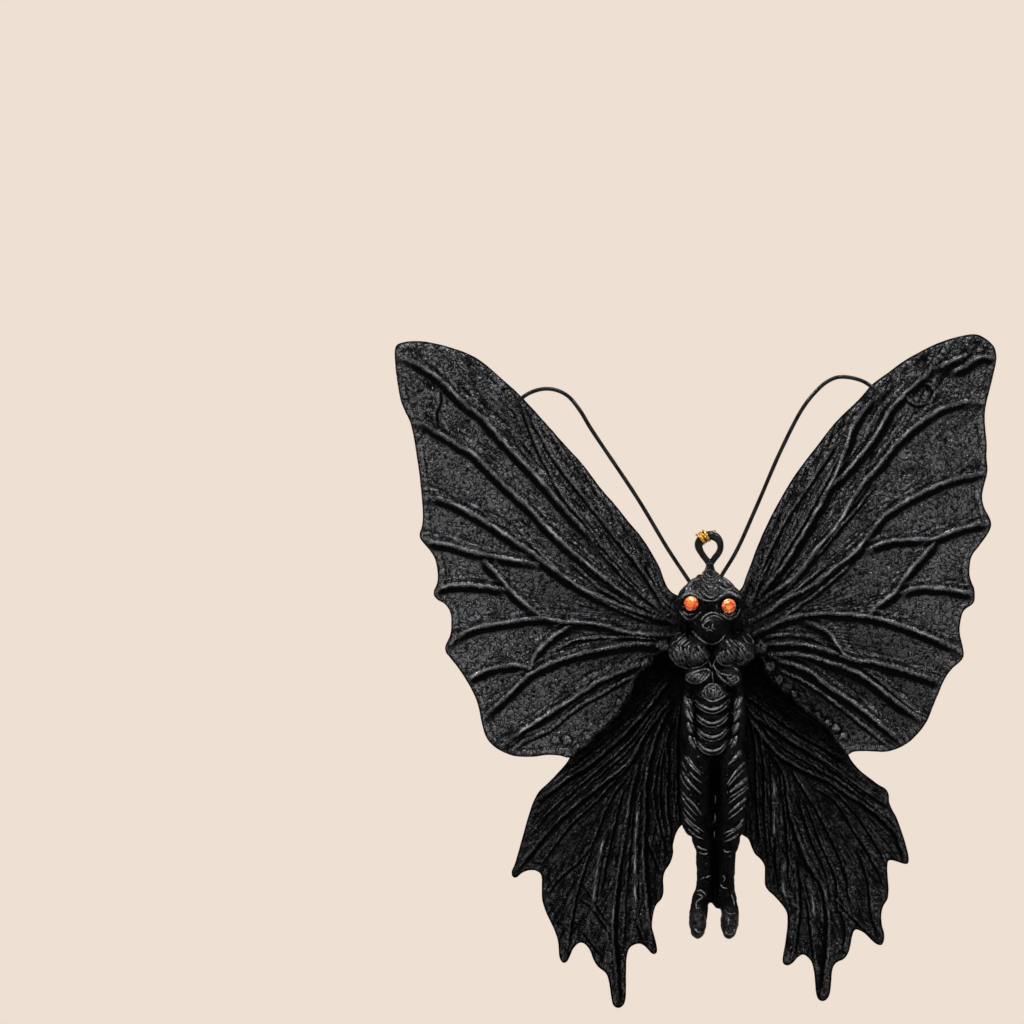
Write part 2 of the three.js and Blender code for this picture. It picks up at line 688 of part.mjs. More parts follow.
const ornament = new THREE.Group();
ornament.add(
  figure,
  mesh("hanging_eye", hangingEye(), ...BLACK_WIRE),
  mesh("thread_hitch", threadHitch(), ...GOLD),
  knot,
  mesh("thread_loop", threadLoop(), ...GOLD),
);

export default ornament;
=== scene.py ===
"""The looks of a moth hanging ornament: satin black resin castings, wire, cut glass and gold thread.

Sizes are in millimetres in the part's own frame, and become metres where a mesh is handed to Blender.
Drawings are on the same grid as the part's source, seen from the front with x to the right and y down.
Noise is given in layers, as (height, distance between lumps, seed), or without the height.
"""

import math

import bmesh
import bpy
import numpy as np
from mathutils import Matrix, Vector, noise
from mathutils.bvhtree import BVHTree


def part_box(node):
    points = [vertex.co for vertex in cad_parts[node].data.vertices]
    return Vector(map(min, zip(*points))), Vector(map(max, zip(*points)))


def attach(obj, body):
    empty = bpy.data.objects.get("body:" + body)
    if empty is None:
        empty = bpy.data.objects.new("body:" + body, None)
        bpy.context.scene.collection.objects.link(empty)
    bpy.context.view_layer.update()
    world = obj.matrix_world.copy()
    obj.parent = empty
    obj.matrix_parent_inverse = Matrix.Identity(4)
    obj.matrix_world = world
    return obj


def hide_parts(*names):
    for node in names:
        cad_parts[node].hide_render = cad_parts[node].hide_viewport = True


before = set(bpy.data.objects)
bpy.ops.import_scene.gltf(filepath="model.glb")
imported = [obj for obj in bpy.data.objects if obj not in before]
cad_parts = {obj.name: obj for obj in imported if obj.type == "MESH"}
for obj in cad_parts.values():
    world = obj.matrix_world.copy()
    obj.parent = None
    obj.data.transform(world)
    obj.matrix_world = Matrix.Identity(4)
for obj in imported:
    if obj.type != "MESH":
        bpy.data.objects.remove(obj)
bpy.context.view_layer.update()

MM = 0.001

# The drawing grid: millimetres a step, the grid point that is the part's origin, and how many short steps a
# curve has between two drawn points before it is resampled
GRID_PITCH = 0.172
GRID_ORIGIN = (710, 540)
CURVE_STEPS = 16

# Camera
LENS = 200
SENSOR = 36
FRAME_PIXELS = 1024
FOCAL_PIXELS = FRAME_PIXELS * LENS / SENSOR
CAMERA_HEIGHT = -20
CAMERA_DISTANCE = FOCAL_PIXELS * GRID_PITCH
CAMERA_NEAR = 50

# Stage: the floor, the pale room that is seen and the light that it gives, and the lamps in metres
FLOOR_RADIUS = 260
FLOOR_HEIGHT = -115
ROOM_SEEN = (0.855, 0.745, 0.645, 1)
ROOM_LIGHT = (0.9, 0.87, 0.85, 1)
ROOM_LIGHT_STRENGTH = 0.3
LAMP_TARGET = Vector((0, 0, -0.02))
LAMPS = [
    {"name": "key", "place": (-0.1, -0.45, 0.66), "size": 0.6, "power": 3.6, "colour": (0.98, 0.98, 1)},
    {"name": "left_sparkle", "place": (-0.48, -0.42, 0.56), "size": 0.08, "power": 2.2, "colour": (1, 1, 1)},
    {"name": "right_sparkle", "place": (0.48, -0.42, 0.56), "size": 0.08, "power": 2.2, "colour": (1, 1, 1)},
    {"name": "top_sparkle", "place": (0.04, -0.36, 0.68), "size": 0.08, "power": 1.4, "colour": (1, 1, 1)},
    {"name": "rim", "place": (0.2, 0.35, 0.5), "size": 0.2, "power": 0.8, "colour": (0.98, 0.98, 1)},
]

# Black paint on the resin: its colour in painted shade, halfway and on unshaded faces, the tint of their
# sheen, and the colour of the painted highlight along the crests of raised lines
PAINT_IN_SHADE = (0.0004, 0.0004, 0.0004)
PAINT_HALFWAY = (0.02, 0.02, 0.02)
PAINT_UNSHADED = (0.084, 0.084, 0.09)
PAINT_SHEEN = (0.77, 0.87, 1)
PAINT_CREST_HIGHLIGHT = (0.42, 0.42, 0.44, 1)

# Streaks of the wings' paint: how many to a radian, and how long
STREAKS_PER_RADIAN = 60
STREAK_LENGTH = 4

# Hanging eye: its middle line, neck, collar and shank are as in the part's source. The collar's curve has
# radii as shares of the neck's and heights as shares of the flare
EYE_WIRE = 1.05
EYE_INNER_RADIUS = 1.25
EYE_LEG_TURN = math.radians(125)
NECK_DIAMETER = 1.46
NECK_LENGTH = 1.84
LEG_SINK = 0.4
COLLAR_DIAMETER = 2.75
COLLAR_RIM = 0.3
COLLAR_FLARE = 0.7
COLLAR_CURVE = [(1.3, 0.6), (1.08, 1.3)]
SHANK_DIAMETER = 1.2
SHANK_LENGTH = 3.4

# The eye's wire as it looks: it thickens over these heights towards the upper left, and moves outward over
# those, so that the hole stays open. The neck's flutes fade in above the collar and out where the legs part
EYE_SIDE_RADIUS = 0.56
EYE_TOP_RADIUS = 0.78
EYE_THICKENS = (-1.9, 0.4)
EYE_LEAN = 0.35
EYE_SPREADS = (-2.2, -1)
EYE_GRAIN = [(0.03, 0.8, 3.1)]
EYE_VOXEL = 0.07
NECK_FLUTES = 7
FLUTE_DEPTH = 0.1
FLUTE_FADE_IN = 0.5
FLUTE_FADE_OUT = (0.6, 0.3)

# Gold thread: its plies, and the hitch of thinner thread whose turns lie a little unevenly on the eye
THREAD = 0.6
THREAD_PLIES = 3
PLY_DEPTH = 0.1
PLY_LAY = 1.5
HITCH_TURNS = 3.5
HITCH_PITCH = 0.4
HITCH_ANGLE = math.radians(-33)
HITCH_STEPS = 84
HITCH_THREAD = 0.44
HITCH_BITE = 0.04
HITCH_LOOSENESS = 0.03
HITCH_LOOSENESS_RATE = 2.3
HITCH_WANDER = 0.1
HITCH_WANDER_RATE = 1.4

# The knot, its cut end, and the loop's route, which is the part's
KNOT_RADIUS = 1.0
KNOT_GAP = 0.3
KNOT_TURN_RADIUS = 0.52
KNOT_TURN_SWELL = 0.24
KNOT_TURN_DEPTH = 0.26
KNOT_END = [(-0.5, 3.4, 0.9), (0, 2.4, 1.25), (0.55, 1.8, 1.5), (0.95, 1.6, 1.55)]
LOOP_ROUTE = [
    (-1.5, 3.35, -0.6), (-1.68, 3.25, -1.5), (-1.38, 3.1, -2.6), (-0.75, 3.0, -3.5), (-0.2, 3.0, -4.4),
    (0.05, 3.0, -5.6), (0.1, 3.05, -8), (0.1, 3.4, -11), (0.05, 4.2, -14.5), (-0.1, 4.95, -18),
    (-0.5, 5.3, -24), (-1.2, 5.4, -34), (-1.7, 5.3, -45), (-1.8, 5.2, -55), (-1.5, 5.2, -57.6),
    (-0.7, 5.2, -59.1), (0.3, 5.2, -59.4), (1.2, 5.2, -58.8), (1.8, 5.2, -57.2), (2.0, 5.2, -54.5),
    (1.8, 5.5, -45), (1.3, 5.8, -34), (0.7, 6.2, -24), (0.3, 6.0, -18), (0.1, 5.3, -14.5), (0.1, 4.55, -11),
    (0.1, 4.2, -8), (0.05, 4.1, -5.6), (-0.2, 4.1, -4.4), (-0.75, 4.15, -3.5), (-1.38, 4.2, -2.6),
    (-1.68, 4.35, -1.5), (-1.5, 4.45, -0.6),
]
LOOP_STEP = 0.15

# Antennae: the wire, how deep it sits in the head, how far its tip stands in front of the forewing and how
# thin the tip gets, and the drawings from root to tip
ANTENNA_WIRE = 0.7
ANTENNA_ROOT_Y = -2.0
ANTENNA_SOCKET = 2.4
ANTENNA_TIP_GAP = 2.2 * ANTENNA_WIRE
ANTENNA_TIP_THIN = 0.55
ANTENNA_UNEVEN = [(0.05, 2.5, 0.4)]
ANTENNAE = {
    "left_antenna": [
        (688, 579.5), (668.5, 550), (638, 499), (591, 428.5), (579.5, 409.5), (568, 396), (556, 390),
        (543, 389), (529.5, 393), (521, 399), (514, 408),
    ],
    "right_antenna": [
        (723, 573.5), (736, 552), (756, 508), (781, 450.5), (802.5, 409), (815, 393), (826, 383),
        (837, 378), (849, 378), (862, 381.5), (871, 387), (879, 394),
    ],
}

# Cut-glass eyes: where they sit at the left (-1) and the right (1), the cut, and the painted reflections: how
# the tones of the facets differ with their direction and place, and a painted glint towards one direction
GEM_PLACE = (3.2, -6.4, -11.19)
GEM_RISE = {-1: 0.18, 1: -0.23}
GEM_TURN = math.radians(10)
GEM_RADIUS = 1.25
GEM_TABLE_RADIUS = 0.66
GEM_GIRDLE = 0.15
GEM_CROWN = 0.5
GEM_KITE_HEIGHT = 0.6 * GEM_CROWN
GEM_PAVILION = 0.9
GEM_WAIST_RADIUS = 0.55 * GEM_RADIUS
GEM_CULET_RADIUS = 0.02
GEM_SIDES = 8
GEM_TONE = 0.38
GEM_TONE_SPREAD = 0.85
GEM_TONE_TURN = 10
GEM_TONE_SHIFT = 2.6
GEM_PAINTED_GLINT = Vector((-0.2, -0.75, 0.63))
GEM_PAINTED_GLINT_TONE = 0.32
GEM_PAINTED_GLINT_SHARPNESS = 6

# Wings: how they bend back, and for each pair the flat front face before that and its thickness, the
# fineness of its mesh, whether pleats cover it, its painted light level, lower on the hindwings as painted
# shade, how much painted shade it has at the root and how far that reaches, and the height, half width and
# reach of the trough and painted shadow below of its raised lines
WING_SWEEP = 5
WING_SWEEP_START = 12
WING_SWEEP_REACH = 50
FOREWING = {
    "front": -0.5,
    "thickness": 2.4,
    "voxel": 0.2,
    "pleated": False,
    "painted_light_level": 1.0,
    "root_shade": (0.35, 8, 32),
    "forms": {"veins": (0.3, 0.55, 1.0), "ridges": (0.16, 0.32, 0.5)},
}
HINDWING = {
    "front": 2.2,
    "thickness": 2.0,
    "voxel": 0.15,
    "pleated": True,
    "painted_light_level": 0.42,
    "root_shade": (0.55, 12, 58),
    "forms": {"veins": (0.2, 0.36, 0.7), "ridges": (0.14, 0.22, 0.45), "folds": (0.14, 0.6, 0.3)},
}

# Raised lines: how far their form reaches, their strength along them, how they wander and swell, a low
# second ridge above each, the face that rises to it and is coarse there, and the trough below it and the
# black painted shadow that the line would cast there
LINE_REACH = 5
LINE_TAPER = ((0, 0.1, 0.85, 1), (0.4, 1, 1, 0.5))
LINE_WANDER = [(0.12, 1.3, 4.0), (0.05, 0.5, 4.5)]
LINE_SWELL = [(0.35, 2.2, 6.0)]
SECOND_RIDGE = 0.35
SECOND_RIDGE_GAP = 0.15
FACE_RISE = 0.5
FACE_RISE_REACH = 1.6
COARSE_GAP = 0.7
COARSE_WIDTH = 0.8
TROUGH_START = 0.6
TROUGH_EDGE = 0.2
TROUGH_DEPTH = 1.6
TROUGH_REACH = 1.5
PAINTED_SHADOW_REACH = (0.6, 1.5)

# Wing faces: pleats that run out from the root, where a forewing has them by the slope of its rays and the
# distance from its root, the crust and its rough patches, fine grain and long waves
PLEATS_PER_RADIAN = 26
PLEAT_LENGTH = 15
PLEAT_NOISE = (0.9, 5.0)
PLEAT_HEIGHT = 0.2
PLEAT_START = (1, 4)
PLEATS_UPWARD = (0.45, 0.95)
PLEATS_AT_ROOT = (12, 26)
ROUGH_PATCHES = [(0.6, 5, 9.0)]
ROUGH_RANGE = (0.1, 1)
CRUST_HEIGHT = 0.08
CRUST_CREVICES = [(2.2, 0.95, 1.0)]
FACE_GRAIN = [(0.05, 0.6, 2.0)]
FACE_WAVES = [(0.1, 4.0, 3.0)]

# Slits, and crumbs: how uneven a crumb is and how far apart its lumps are, its height, the painted shadow
# ring round it as (darkness, distance, width), and how far out its top carries a painted highlight and how
# strong, with heights and distances as shares of its radius
SLIT_HALF_WIDTH = 0.3
SLIT_DEPTH = 0.7
CRUMB_UNEVENNESS = 0.6
CRUMB_LUMP = 0.7
CRUMB_HEIGHT = 0.55
CRUMB_SHADOW_RING = (0.5, 1.25, 0.25)
CRUMB_TOP = 0.7
CRUMB_TOP_HIGHLIGHT = 0.5

# Wing edges: how squarely a surface has to look forward or back to count as a face, the round rim, the hem
# inside it as (height, distance from the edge, width), and how much of the relief the back has
FACING = (0.3, 0.8)
RIM_RADIUS = 0.9
RIM_SHARE = 0.8
EDGE_FADE = 0.8
EDGE_GRAIN = [(0.05, 1.5, 6.0)]
HEM = [(0.1, 0.7, 0.4), (-0.16, 1.35, 0.25)]
HEM_MEAN = 0.6
HEM_NOISE = (6, 2.5)
BACK_RELIEF = 0.45
BACK_DEEPEST = -0.3
BACK_HEM = 0.3
FRONT_LIMIT = 1.3
BACK_LIMIT = 0.8

# Wing drawings: the outline from the root round to the root again, the point where the streaks meet, the
# raised lines, the slits, the crumbs on the lower edge with their radii, and the shades, where the face
# between the lines gets painted shade, as (x, y, half width, half height, how much darker)
WINGS = {
    "left_forewing": {
        **FOREWING,
        "root": (672, 622),
        "outline": [
            (700, 600), (675.5, 594.5), (668, 588), (658.5, 565), (641.5, 537), (630.5, 524), (614.5, 504),
            (601, 488.5), (583, 464.5), (568, 448), (521, 396), (503.5, 380), (484, 363), (467.5, 353),
            (421.5, 340.7), (398.5, 343), (395, 347), (400, 398), (405, 411.5), (410, 422), (417.5, 462),
            (422.7, 516), (421.5, 527), (419.5, 534), (420.2, 538.5), (431, 552), (435.5, 560.5),
            (437.7, 579), (436, 586), (433.7, 590.5), (433.7, 595), (437, 599.5), (443.5, 603),
            (448.7, 609), (451, 616), (450.4, 634), (445.2, 647), (446, 652.7), (450, 657.5), (462, 673.5),
            (476, 699), (488, 740), (509.5, 754.6), (533, 756.7), (545, 755), (558.7, 755.3), (570, 757.5),
            (580, 750), (591, 741), (597, 733), (606, 728), (611, 721), (619, 714), (623, 706), (630, 697),
            (632, 689), (636, 678), (642, 671), (650, 665), (656, 656), (672, 652), (700, 652),
        ],
        "veins": [
            [(402, 357), (411, 360), (439, 377.5), (464, 402.5), (485, 419), (492, 428), (546, 486),
             (565, 508), (597, 543)],
            [(411, 422), (422.6, 423.5), (431, 428), (462, 446.5), (473.4, 453.5), (509, 489), (529, 507),
             (545, 525), (580.5, 558), (620.7, 590), (645, 606), (666, 617)],
            [(422.6, 497), (443.4, 499.5), (486, 521.5), (509, 537), (531, 551.5), (573, 582.5),
             (622, 606), (674, 622)],
            [(421, 538), (431, 541.5), (450, 544.5), (470, 551), (538, 564)],
            [(485, 560.5), (510.5, 589.5), (525.4, 603.5), (543, 617.5)],
            [(435, 590), (444.6, 586.5), (463, 584.3), (505, 589)],
            [(447, 644), (470, 629.5), (517, 620.5), (541.5, 618), (561, 621), (588, 622.5),
             (609.5, 626.5), (623.6, 631), (674, 636)],
            [(570.5, 626), (554, 635.5), (539, 649.5), (532, 660), (529, 668)],
            [(466, 680), (476, 674.5), (495.5, 667), (518.5, 665), (529, 668)],
            [(672, 645), (636, 643.5), (601, 649), (573, 655), (530.5, 673.5), (509.5, 693),
             (481.5, 718.5)],
            [(640.5, 663), (615, 674), (601, 679.5), (580, 693.5), (513.5, 736.5), (502, 746)],
        ],
        "ridges": [
            [(522, 406), (541.5, 454.5), (549, 468), (562, 494.5), (583, 520), (606, 549.5), (652, 600),
             (668, 615)],
            [(528, 408), (553, 456), (590, 504), (636, 562), (664, 600)],
            [(437.5, 390), (438, 402), (434, 414), (436, 427)],
            [(520, 530), (548, 560), (575, 584), (612, 606), (650, 622)],
            [(570, 560), (596, 584), (628, 604), (662, 620)],
            [(602, 552), (646, 598), (668, 616)],
            [(632, 552), (656, 592), (668, 610)],
            [(648, 566), (656, 584), (668, 604)],
            [(634, 675), (573, 710), (550, 729), (526, 740), (511, 750)],
            [(660, 640), (630, 637), (575, 640), (553, 651)],
        ],
        "crumbs": [
            (556, 741, 4), (566, 740, 4.5), (576, 749, 4), (588, 737, 5), (604, 725, 4.5), (619, 702, 3),
            (631, 697, 3), (646, 664, 6), (663, 646, 8),
        ],
    },
    "right_forewing": {
        **FOREWING,
        "root": (753, 622),
        "outline": [
            (722, 600), (740, 590), (747, 574), (760, 540), (775, 509), (794.5, 476), (819, 443.5),
            (836, 422), (858.5, 400), (873, 384), (888, 373), (903.5, 361.5), (940.5, 342.5), (972, 334.7),
            (981, 336.4), (993.3, 346.5), (995.7, 353), (995.7, 362), (985, 409), (984.3, 421),
            (986.3, 445), (986, 457), (986.8, 472), (981.5, 496), (984, 509), (988.5, 517.3), (990.5, 524),
            (989, 530.5), (978, 547), (971, 556.5), (968.8, 574), (970.6, 582), (973.5, 589), (973, 602.5),
            (963, 611), (959, 626), (959.3, 635), (962.5, 657), (951, 669), (944.5, 678), (932, 707),
            (925, 723), (908, 742), (888, 751), (862.5, 750.8), (851.5, 752), (847.5, 754.5), (838, 745),
            (831, 734), (823, 724), (801, 707.5), (794, 700.5), (772.5, 682), (764, 671), (760, 658),
            (722, 652),
        ],
        "veins": [
            [(757, 597), (785, 562), (834, 477), (846, 446), (853, 426), (866, 407), (878, 396)],
            [(826, 490), (842, 475.5), (867.5, 446.5), (879, 429.5), (892, 407), (934, 367)],
            [(757, 604), (798, 573), (815, 550), (835, 528), (861.5, 485), (879, 465), (899, 440.5),
             (929, 416), (946, 407), (969.5, 401.5), (985, 403.5)],
            [(750, 621), (765.5, 613), (787, 598), (810.5, 586.5), (832, 569.5), (855.5, 551), (870, 533),
             (882, 517), (929, 489), (952, 480), (987, 472)],
            [(866, 550), (883.5, 542.5), (907.5, 539.5), (931, 539), (950, 532), (973.5, 525),
             (990, 523.5)],
            [(934, 543), (905.5, 575.5), (894, 592.5), (875.5, 606.5), (869, 614)],
            [(901, 592.5), (918, 587.5), (962, 591.5), (973.5, 595)],
            [(753, 634), (790.5, 617.5), (817.5, 613.3), (875, 617.5), (943.5, 642.5), (961.5, 652)],
            [(806, 621), (827.5, 631.5), (848.5, 657.5), (875.5, 662), (906.5, 670.5), (941, 682.5)],
            [(766, 644), (796.5, 643.5), (824.5, 649), (846, 658)],
            [(772, 655), (799, 654), (860, 674), (881, 689.5), (906.5, 709), (920, 718)],
            [(775, 658.5), (806, 669.5), (830, 687), (860, 707.5), (900, 741)],
            [(994.5, 359), (981, 357), (972, 361), (965, 366.5), (951, 372)],
            [(964, 355), (948.5, 363), (936, 368)],
        ],
        "ridges": [
            [(862, 441), (868, 429), (876, 416)],
            [(864, 668), (885.5, 685), (908, 705), (920, 713)],
            [(781, 669.5), (813.5, 687), (891, 747)],
            [(768, 636), (790, 634), (812, 637), (826, 645)],
            [(817, 556), (840, 527), (858, 506), (872, 487)],
            [(786, 590), (806, 566), (822, 545)],
            [(764, 590), (782, 556), (806, 517), (842, 450)],
            [(757, 580), (770, 548), (788, 515), (812, 480), (838, 440)],
            [(752, 600), (760, 580), (770, 560)],
            [(780, 600), (800, 586), (824, 566)],
            [(770, 626), (820, 590), (848, 566)],
            [(924, 383), (931.5, 386), (934.5, 392), (932.5, 398)],
            [(905, 396), (914, 404), (925, 404)],
        ],
        "slits": [
            [(930, 346), (928, 354), (924.5, 361)],
            [(921, 384), (927, 388), (931, 394)],
        ],
        "crumbs": [
            (778, 680, 4.5), (794, 693, 3.5), (806, 710, 5), (816, 716, 4), (828, 723, 4), (835, 728, 4.5),
            (843, 736, 4), (770, 667, 5.5), (761, 647, 7),
        ],
        "shades": [(868, 692, 80, 52, 0.34)],
    },
    "left_hindwing": {
        **HINDWING,
        "root": (684, 676),
        "outline": [
            (700, 636), (655, 640), (614, 672), (584, 708), (572, 736), (569.5, 757.5), (566, 763.5),
            (549, 782), (540, 790.5), (534, 800), (514.7, 864), (511.7, 871.3), (513, 876.8), (516, 877.4),
            (522, 872.5), (529.4, 870), (536.7, 870.7), (541, 874.3), (542, 898), (544.6, 908),
            (557.4, 938), (559.8, 957.8), (563, 962.4), (566.5, 961.4), (573, 948.6), (578, 943),
            (581.7, 942), (586, 944.4), (590.3, 950.5), (593.3, 959), (597.6, 965.7), (606.7, 974),
            (613.4, 1004.7), (618.3, 1007.3), (623, 1004.7), (625.3, 998), (629, 948), (639, 943),
            (644, 945), (653, 953.5), (656.6, 951.7), (654, 934.6), (651.8, 926), (655.4, 905.4),
            (661.5, 898), (663.3, 890.8), (663, 878.6), (664.6, 871.3), (670, 862.8), (673, 853),
            (673, 843), (680.4, 826), (700, 815),
        ],
        "veins": [
            [(670, 700), (646, 732), (633, 755.5), (627, 763), (578, 802), (554, 824), (515, 870)],
            [(667, 682), (638, 719), (590, 763), (566, 778.5), (540.5, 798)],
            [(670, 706), (662, 720), (651, 750), (645, 785.5), (644, 822), (642.6, 849.5), (650, 932),
             (654, 948)],
            [(637, 766), (630.5, 791.5), (625.6, 825), (614.5, 898), (612.5, 930), (618, 1001)],
        ],
        "ridges": [
            [(628, 774.5), (612, 795), (601, 818.5), (592.5, 841), (578, 860.5), (558.5, 877.5),
             (548, 890)],
            [(640, 752), (596, 800), (572, 822), (541, 862)],
            [(676, 716), (666, 738), (667, 763.5), (666, 806), (668, 822), (670, 850)],
            [(646, 832), (661.5, 872)],
            [(668, 724), (652.5, 789), (657, 824.5), (667, 860)],
            [(610, 797.5), (596, 832), (586, 862), (576, 893), (565, 957)],
            [(583, 882), (610, 922.5)],
            [(580.5, 897), (590.5, 904), (604, 922), (612, 936)],
            [(584, 931), (603, 955)],
            [(652, 712), (628, 742), (548, 812), (532, 832)],
            [(660, 706), (640, 735), (622, 755), (566, 803), (540, 828)],
            [(668, 730), (660, 770), (659, 800), (664, 836)],
            [(622, 790), (606, 856), (600, 890)],
            [(634, 795), (627, 868), (622, 940)],
            [(680, 700), (676, 740), (676, 790), (678, 822)],
            [(640, 900), (638, 920), (645, 940)],
        ],
        "folds": [
            [(638, 800), (635.3, 841), (635.3, 924)],
            [(605, 830), (597, 870), (592, 910)],
        ],
    },
    "right_hindwing": {
        **HINDWING,
        "root": (740, 676),
        "outline": [
            (722, 636), (770, 640), (804, 674), (834, 710), (847, 738), (848, 754.5), (856.5, 767),
            (876, 783), (885.3, 789), (888, 794), (888.3, 801), (891, 808.6), (895.7, 817), (907.8, 857.8),
            (906.6, 863.2), (887.7, 859.6), (886.5, 866.3), (887, 896.7), (882.3, 905.3), (880.4, 912.6),
            (880.8, 923.5), (883, 932), (883, 939.4), (880.4, 944.2), (875.5, 943), (861.5, 930.8),
            (854.2, 928.8), (848, 950.3), (843.3, 957.6), (836, 961.3), (832.3, 966.2), (828.7, 993),
            (825.6, 998.4), (821.4, 1000), (817, 997.2), (811, 961.3), (802.5, 953.4), (797, 956.4),
            (792, 962), (786.6, 964.6), (782.4, 962), (784.8, 942), (787, 918.7), (785.4, 910),
            (775, 896.7), (767.8, 890), (764.7, 884.6), (764, 865), (759.8, 858.4), (753.8, 852.3),
            (747.7, 838.3), (742.8, 835), (722, 820),
        ],
        "veins": [
            [(745, 704), (752, 713), (772.5, 727.5), (796, 743.5), (820, 757), (866.5, 791), (886, 803)],
            [(742, 706), (765.5, 740), (782.5, 757), (803, 769), (827.5, 780), (847, 793.5), (870, 808),
             (894.5, 831.5), (905, 858)],
            [(770, 750), (785, 776), (788.5, 804), (808, 862), (821.5, 884), (827.5, 910), (828, 942),
             (822, 995)],
        ],
        "ridges": [
            [(748, 696.5), (794.5, 730), (834, 753)],
            [(790, 767), (818, 812), (846, 872), (850, 900)],
            [(814, 787), (832.5, 798), (859, 837.5), (874, 862), (884, 884)],
            [(826, 783), (850, 806), (872, 836), (886, 862)],
            [(793.5, 859), (796, 878.5), (797.5, 912.5), (793, 950)],
            [(751, 716), (753, 732), (756, 745.5), (757, 790), (760, 836)],
            [(760, 730), (765, 770), (765, 810), (768, 850)],
            [(780, 764), (788, 840), (790, 880)],
            [(806, 800), (820, 840), (836, 878), (838, 910)],
            [(800, 800), (812, 840), (826, 872), (833, 900)],
            [(834, 897), (873, 937)],
            [(838, 905), (846, 925), (844, 950)],
            [(858, 850), (868, 880), (872, 915), (879, 938)],
            [(758, 712), (784, 736), (812, 754), (868, 797)],
            [(756, 718), (778, 742), (808, 762), (838, 779), (888, 818)],
            [(770, 760), (777, 800), (776, 850), (780, 890)],
            [(808, 900), (815, 960)],
        ],
        "folds": [
            [(772, 770), (774, 800), (773, 845)],
            [(806.7, 881), (811.6, 898), (814, 920)],
            [(784, 860), (782, 880), (786, 900)],
        ],
    },
}

# Body sculpting, on the grid: the middle line of the figure, lumps added to the solid as (x, y, depth, half
# sizes in millimetres), and legs as (x, y, radius in millimetres)
BODY_VOXEL = 0.22
BODY_MIDDLE = 713
BODY_GRAIN = [(0.12, 1.1, 7.0), (0.07, 0.6, 8.0)]
LUMPS = [
    (711, 581, -0.8, (2.6, 2.9, 1.7)),
    (711, 590, -4.6, (1.7, 1.6, 1.5)),
    (712, 600, -5.6, (1.5, 1.5, 1.2)),
    (704, 578, -0.8, (1.0, 1.4, 1.2)),
    (697, 581, -0.8, (1.3, 1.6, 1.2)),
    (692, 583, -0.8, (0.9, 1.2, 0.9)),
    (718, 578, -0.8, (1.0, 1.4, 1.1)),
    (692, 817, -1.6, (1.85, 1.8, 3.2)),
    (736, 819, -1.6, (1.7, 1.8, 3.2)),
    (700, 833, -2.2, (1.5, 2.0, 3.2)),
    (729, 834, -2.2, (1.9, 2.1, 3.6)),
    (712, 893, -1.6, (1.2, 0.8, 1.6)),
    (718, 898, -1.6, (1.0, 0.8, 1.7)),
]
LEG_DEPTH = -2.2
LEGS = [
    [(702, 838, 1.25), (703, 860, 1.2), (703, 882, 1.15), (700, 900, 1.45), (698, 915, 1.5),
     (699.5, 928, 1.15)],
    [(728, 838, 1.4), (727, 860, 1.4), (726, 882, 1.3), (728, 900, 1.5), (730, 916, 1.5),
     (729.5, 928, 1.2)],
]

# The feet hang toes down: the rows where the ankle turns into the foot, the foot's slimness from front to
# back, and how far its toes lean forward for each millimetre down
ANKLE_TOP = 890
ANKLE_FOOT = 908
FOOT_SLIM = 0.62
FOOT_LEAN = 0.28

# How far the head narrows towards its crown at the left and at the right, and between which rows
CROWN_MIDDLE = BODY_MIDDLE - 2
CROWN_TOP = 580
CROWN_FOOT = 597
CROWN_LEFT = 0.74
CROWN_RIGHT = 0.68

# Hollows pressed into what looks forward this squarely, which take painted shade too, as (x, y, half width,
# half height, depth)
FRONT_FACING = (-0.2, 0.4)
HOLLOWS = [
    (688, 628, 10, 10, 1.1),
    (736, 628, 10, 10, 1.1),
    (711, 648, 5, 5, 1.2),
    (692, 687, 9, 5, 0.8),
    (728, 688, 5, 4, 0.8),
    (691, 604, 11, 9, 0.5),
    (729, 606.5, 11, 9, 0.5),
    (715, 790, 6, 34, 2.4),
    (714.5, 868, 3.5, 34, 2.0),
]

# The body's paint: its painted light level, how rough it is, and its painted shade, from -1 for black to 0:
# over the whole, and how much less in lit patches where painted light falls, given as (x, y, half width, half
# height, how much less)
BODY_PAINTED_LIGHT_LEVEL = 0.9
BODY_ROUGH = 0.7
BODY_PAINTED_SHADE = -0.68
LIT_PATCHES = [
    (711, 589, 26, 10, 0.32),
    (712, 617, 9, 5, 0.2),
    (689, 656, 19, 12, 0.42),
    (737, 657, 18, 13, 0.42),
    (697, 677, 11, 5, 0.6),
    (733, 680, 6, 5, 0.5),
    (713, 692, 12, 8, 0.55),
    (689, 708, 5, 9, 0.3),
    (738, 708, 5, 9, 0.3),
    (698, 922, 8, 15, 0.2),
    (730, 922, 8, 15, 0.2),
]

# Strands of fur and folds that are laid on the body from a depth outside it: their taper, how far they
# stand out as a share of their radius, and their painted highlight at the crest and painted shade beside it
OUTSIDE_DEPTH = 60
STRAND_STEP = 0.35
STRAND_SIDES = 8
STRAND_TAPER = ((0, 0.15, 0.6, 1), (0.45, 1, 0.9, 0.3))
STRAND_PROUD = 0.25
STRAND_CREST = 0.4
STRAND_CREST_HIGHLIGHT = 1.7
STRAND_FLANK_SHADE = 0.7

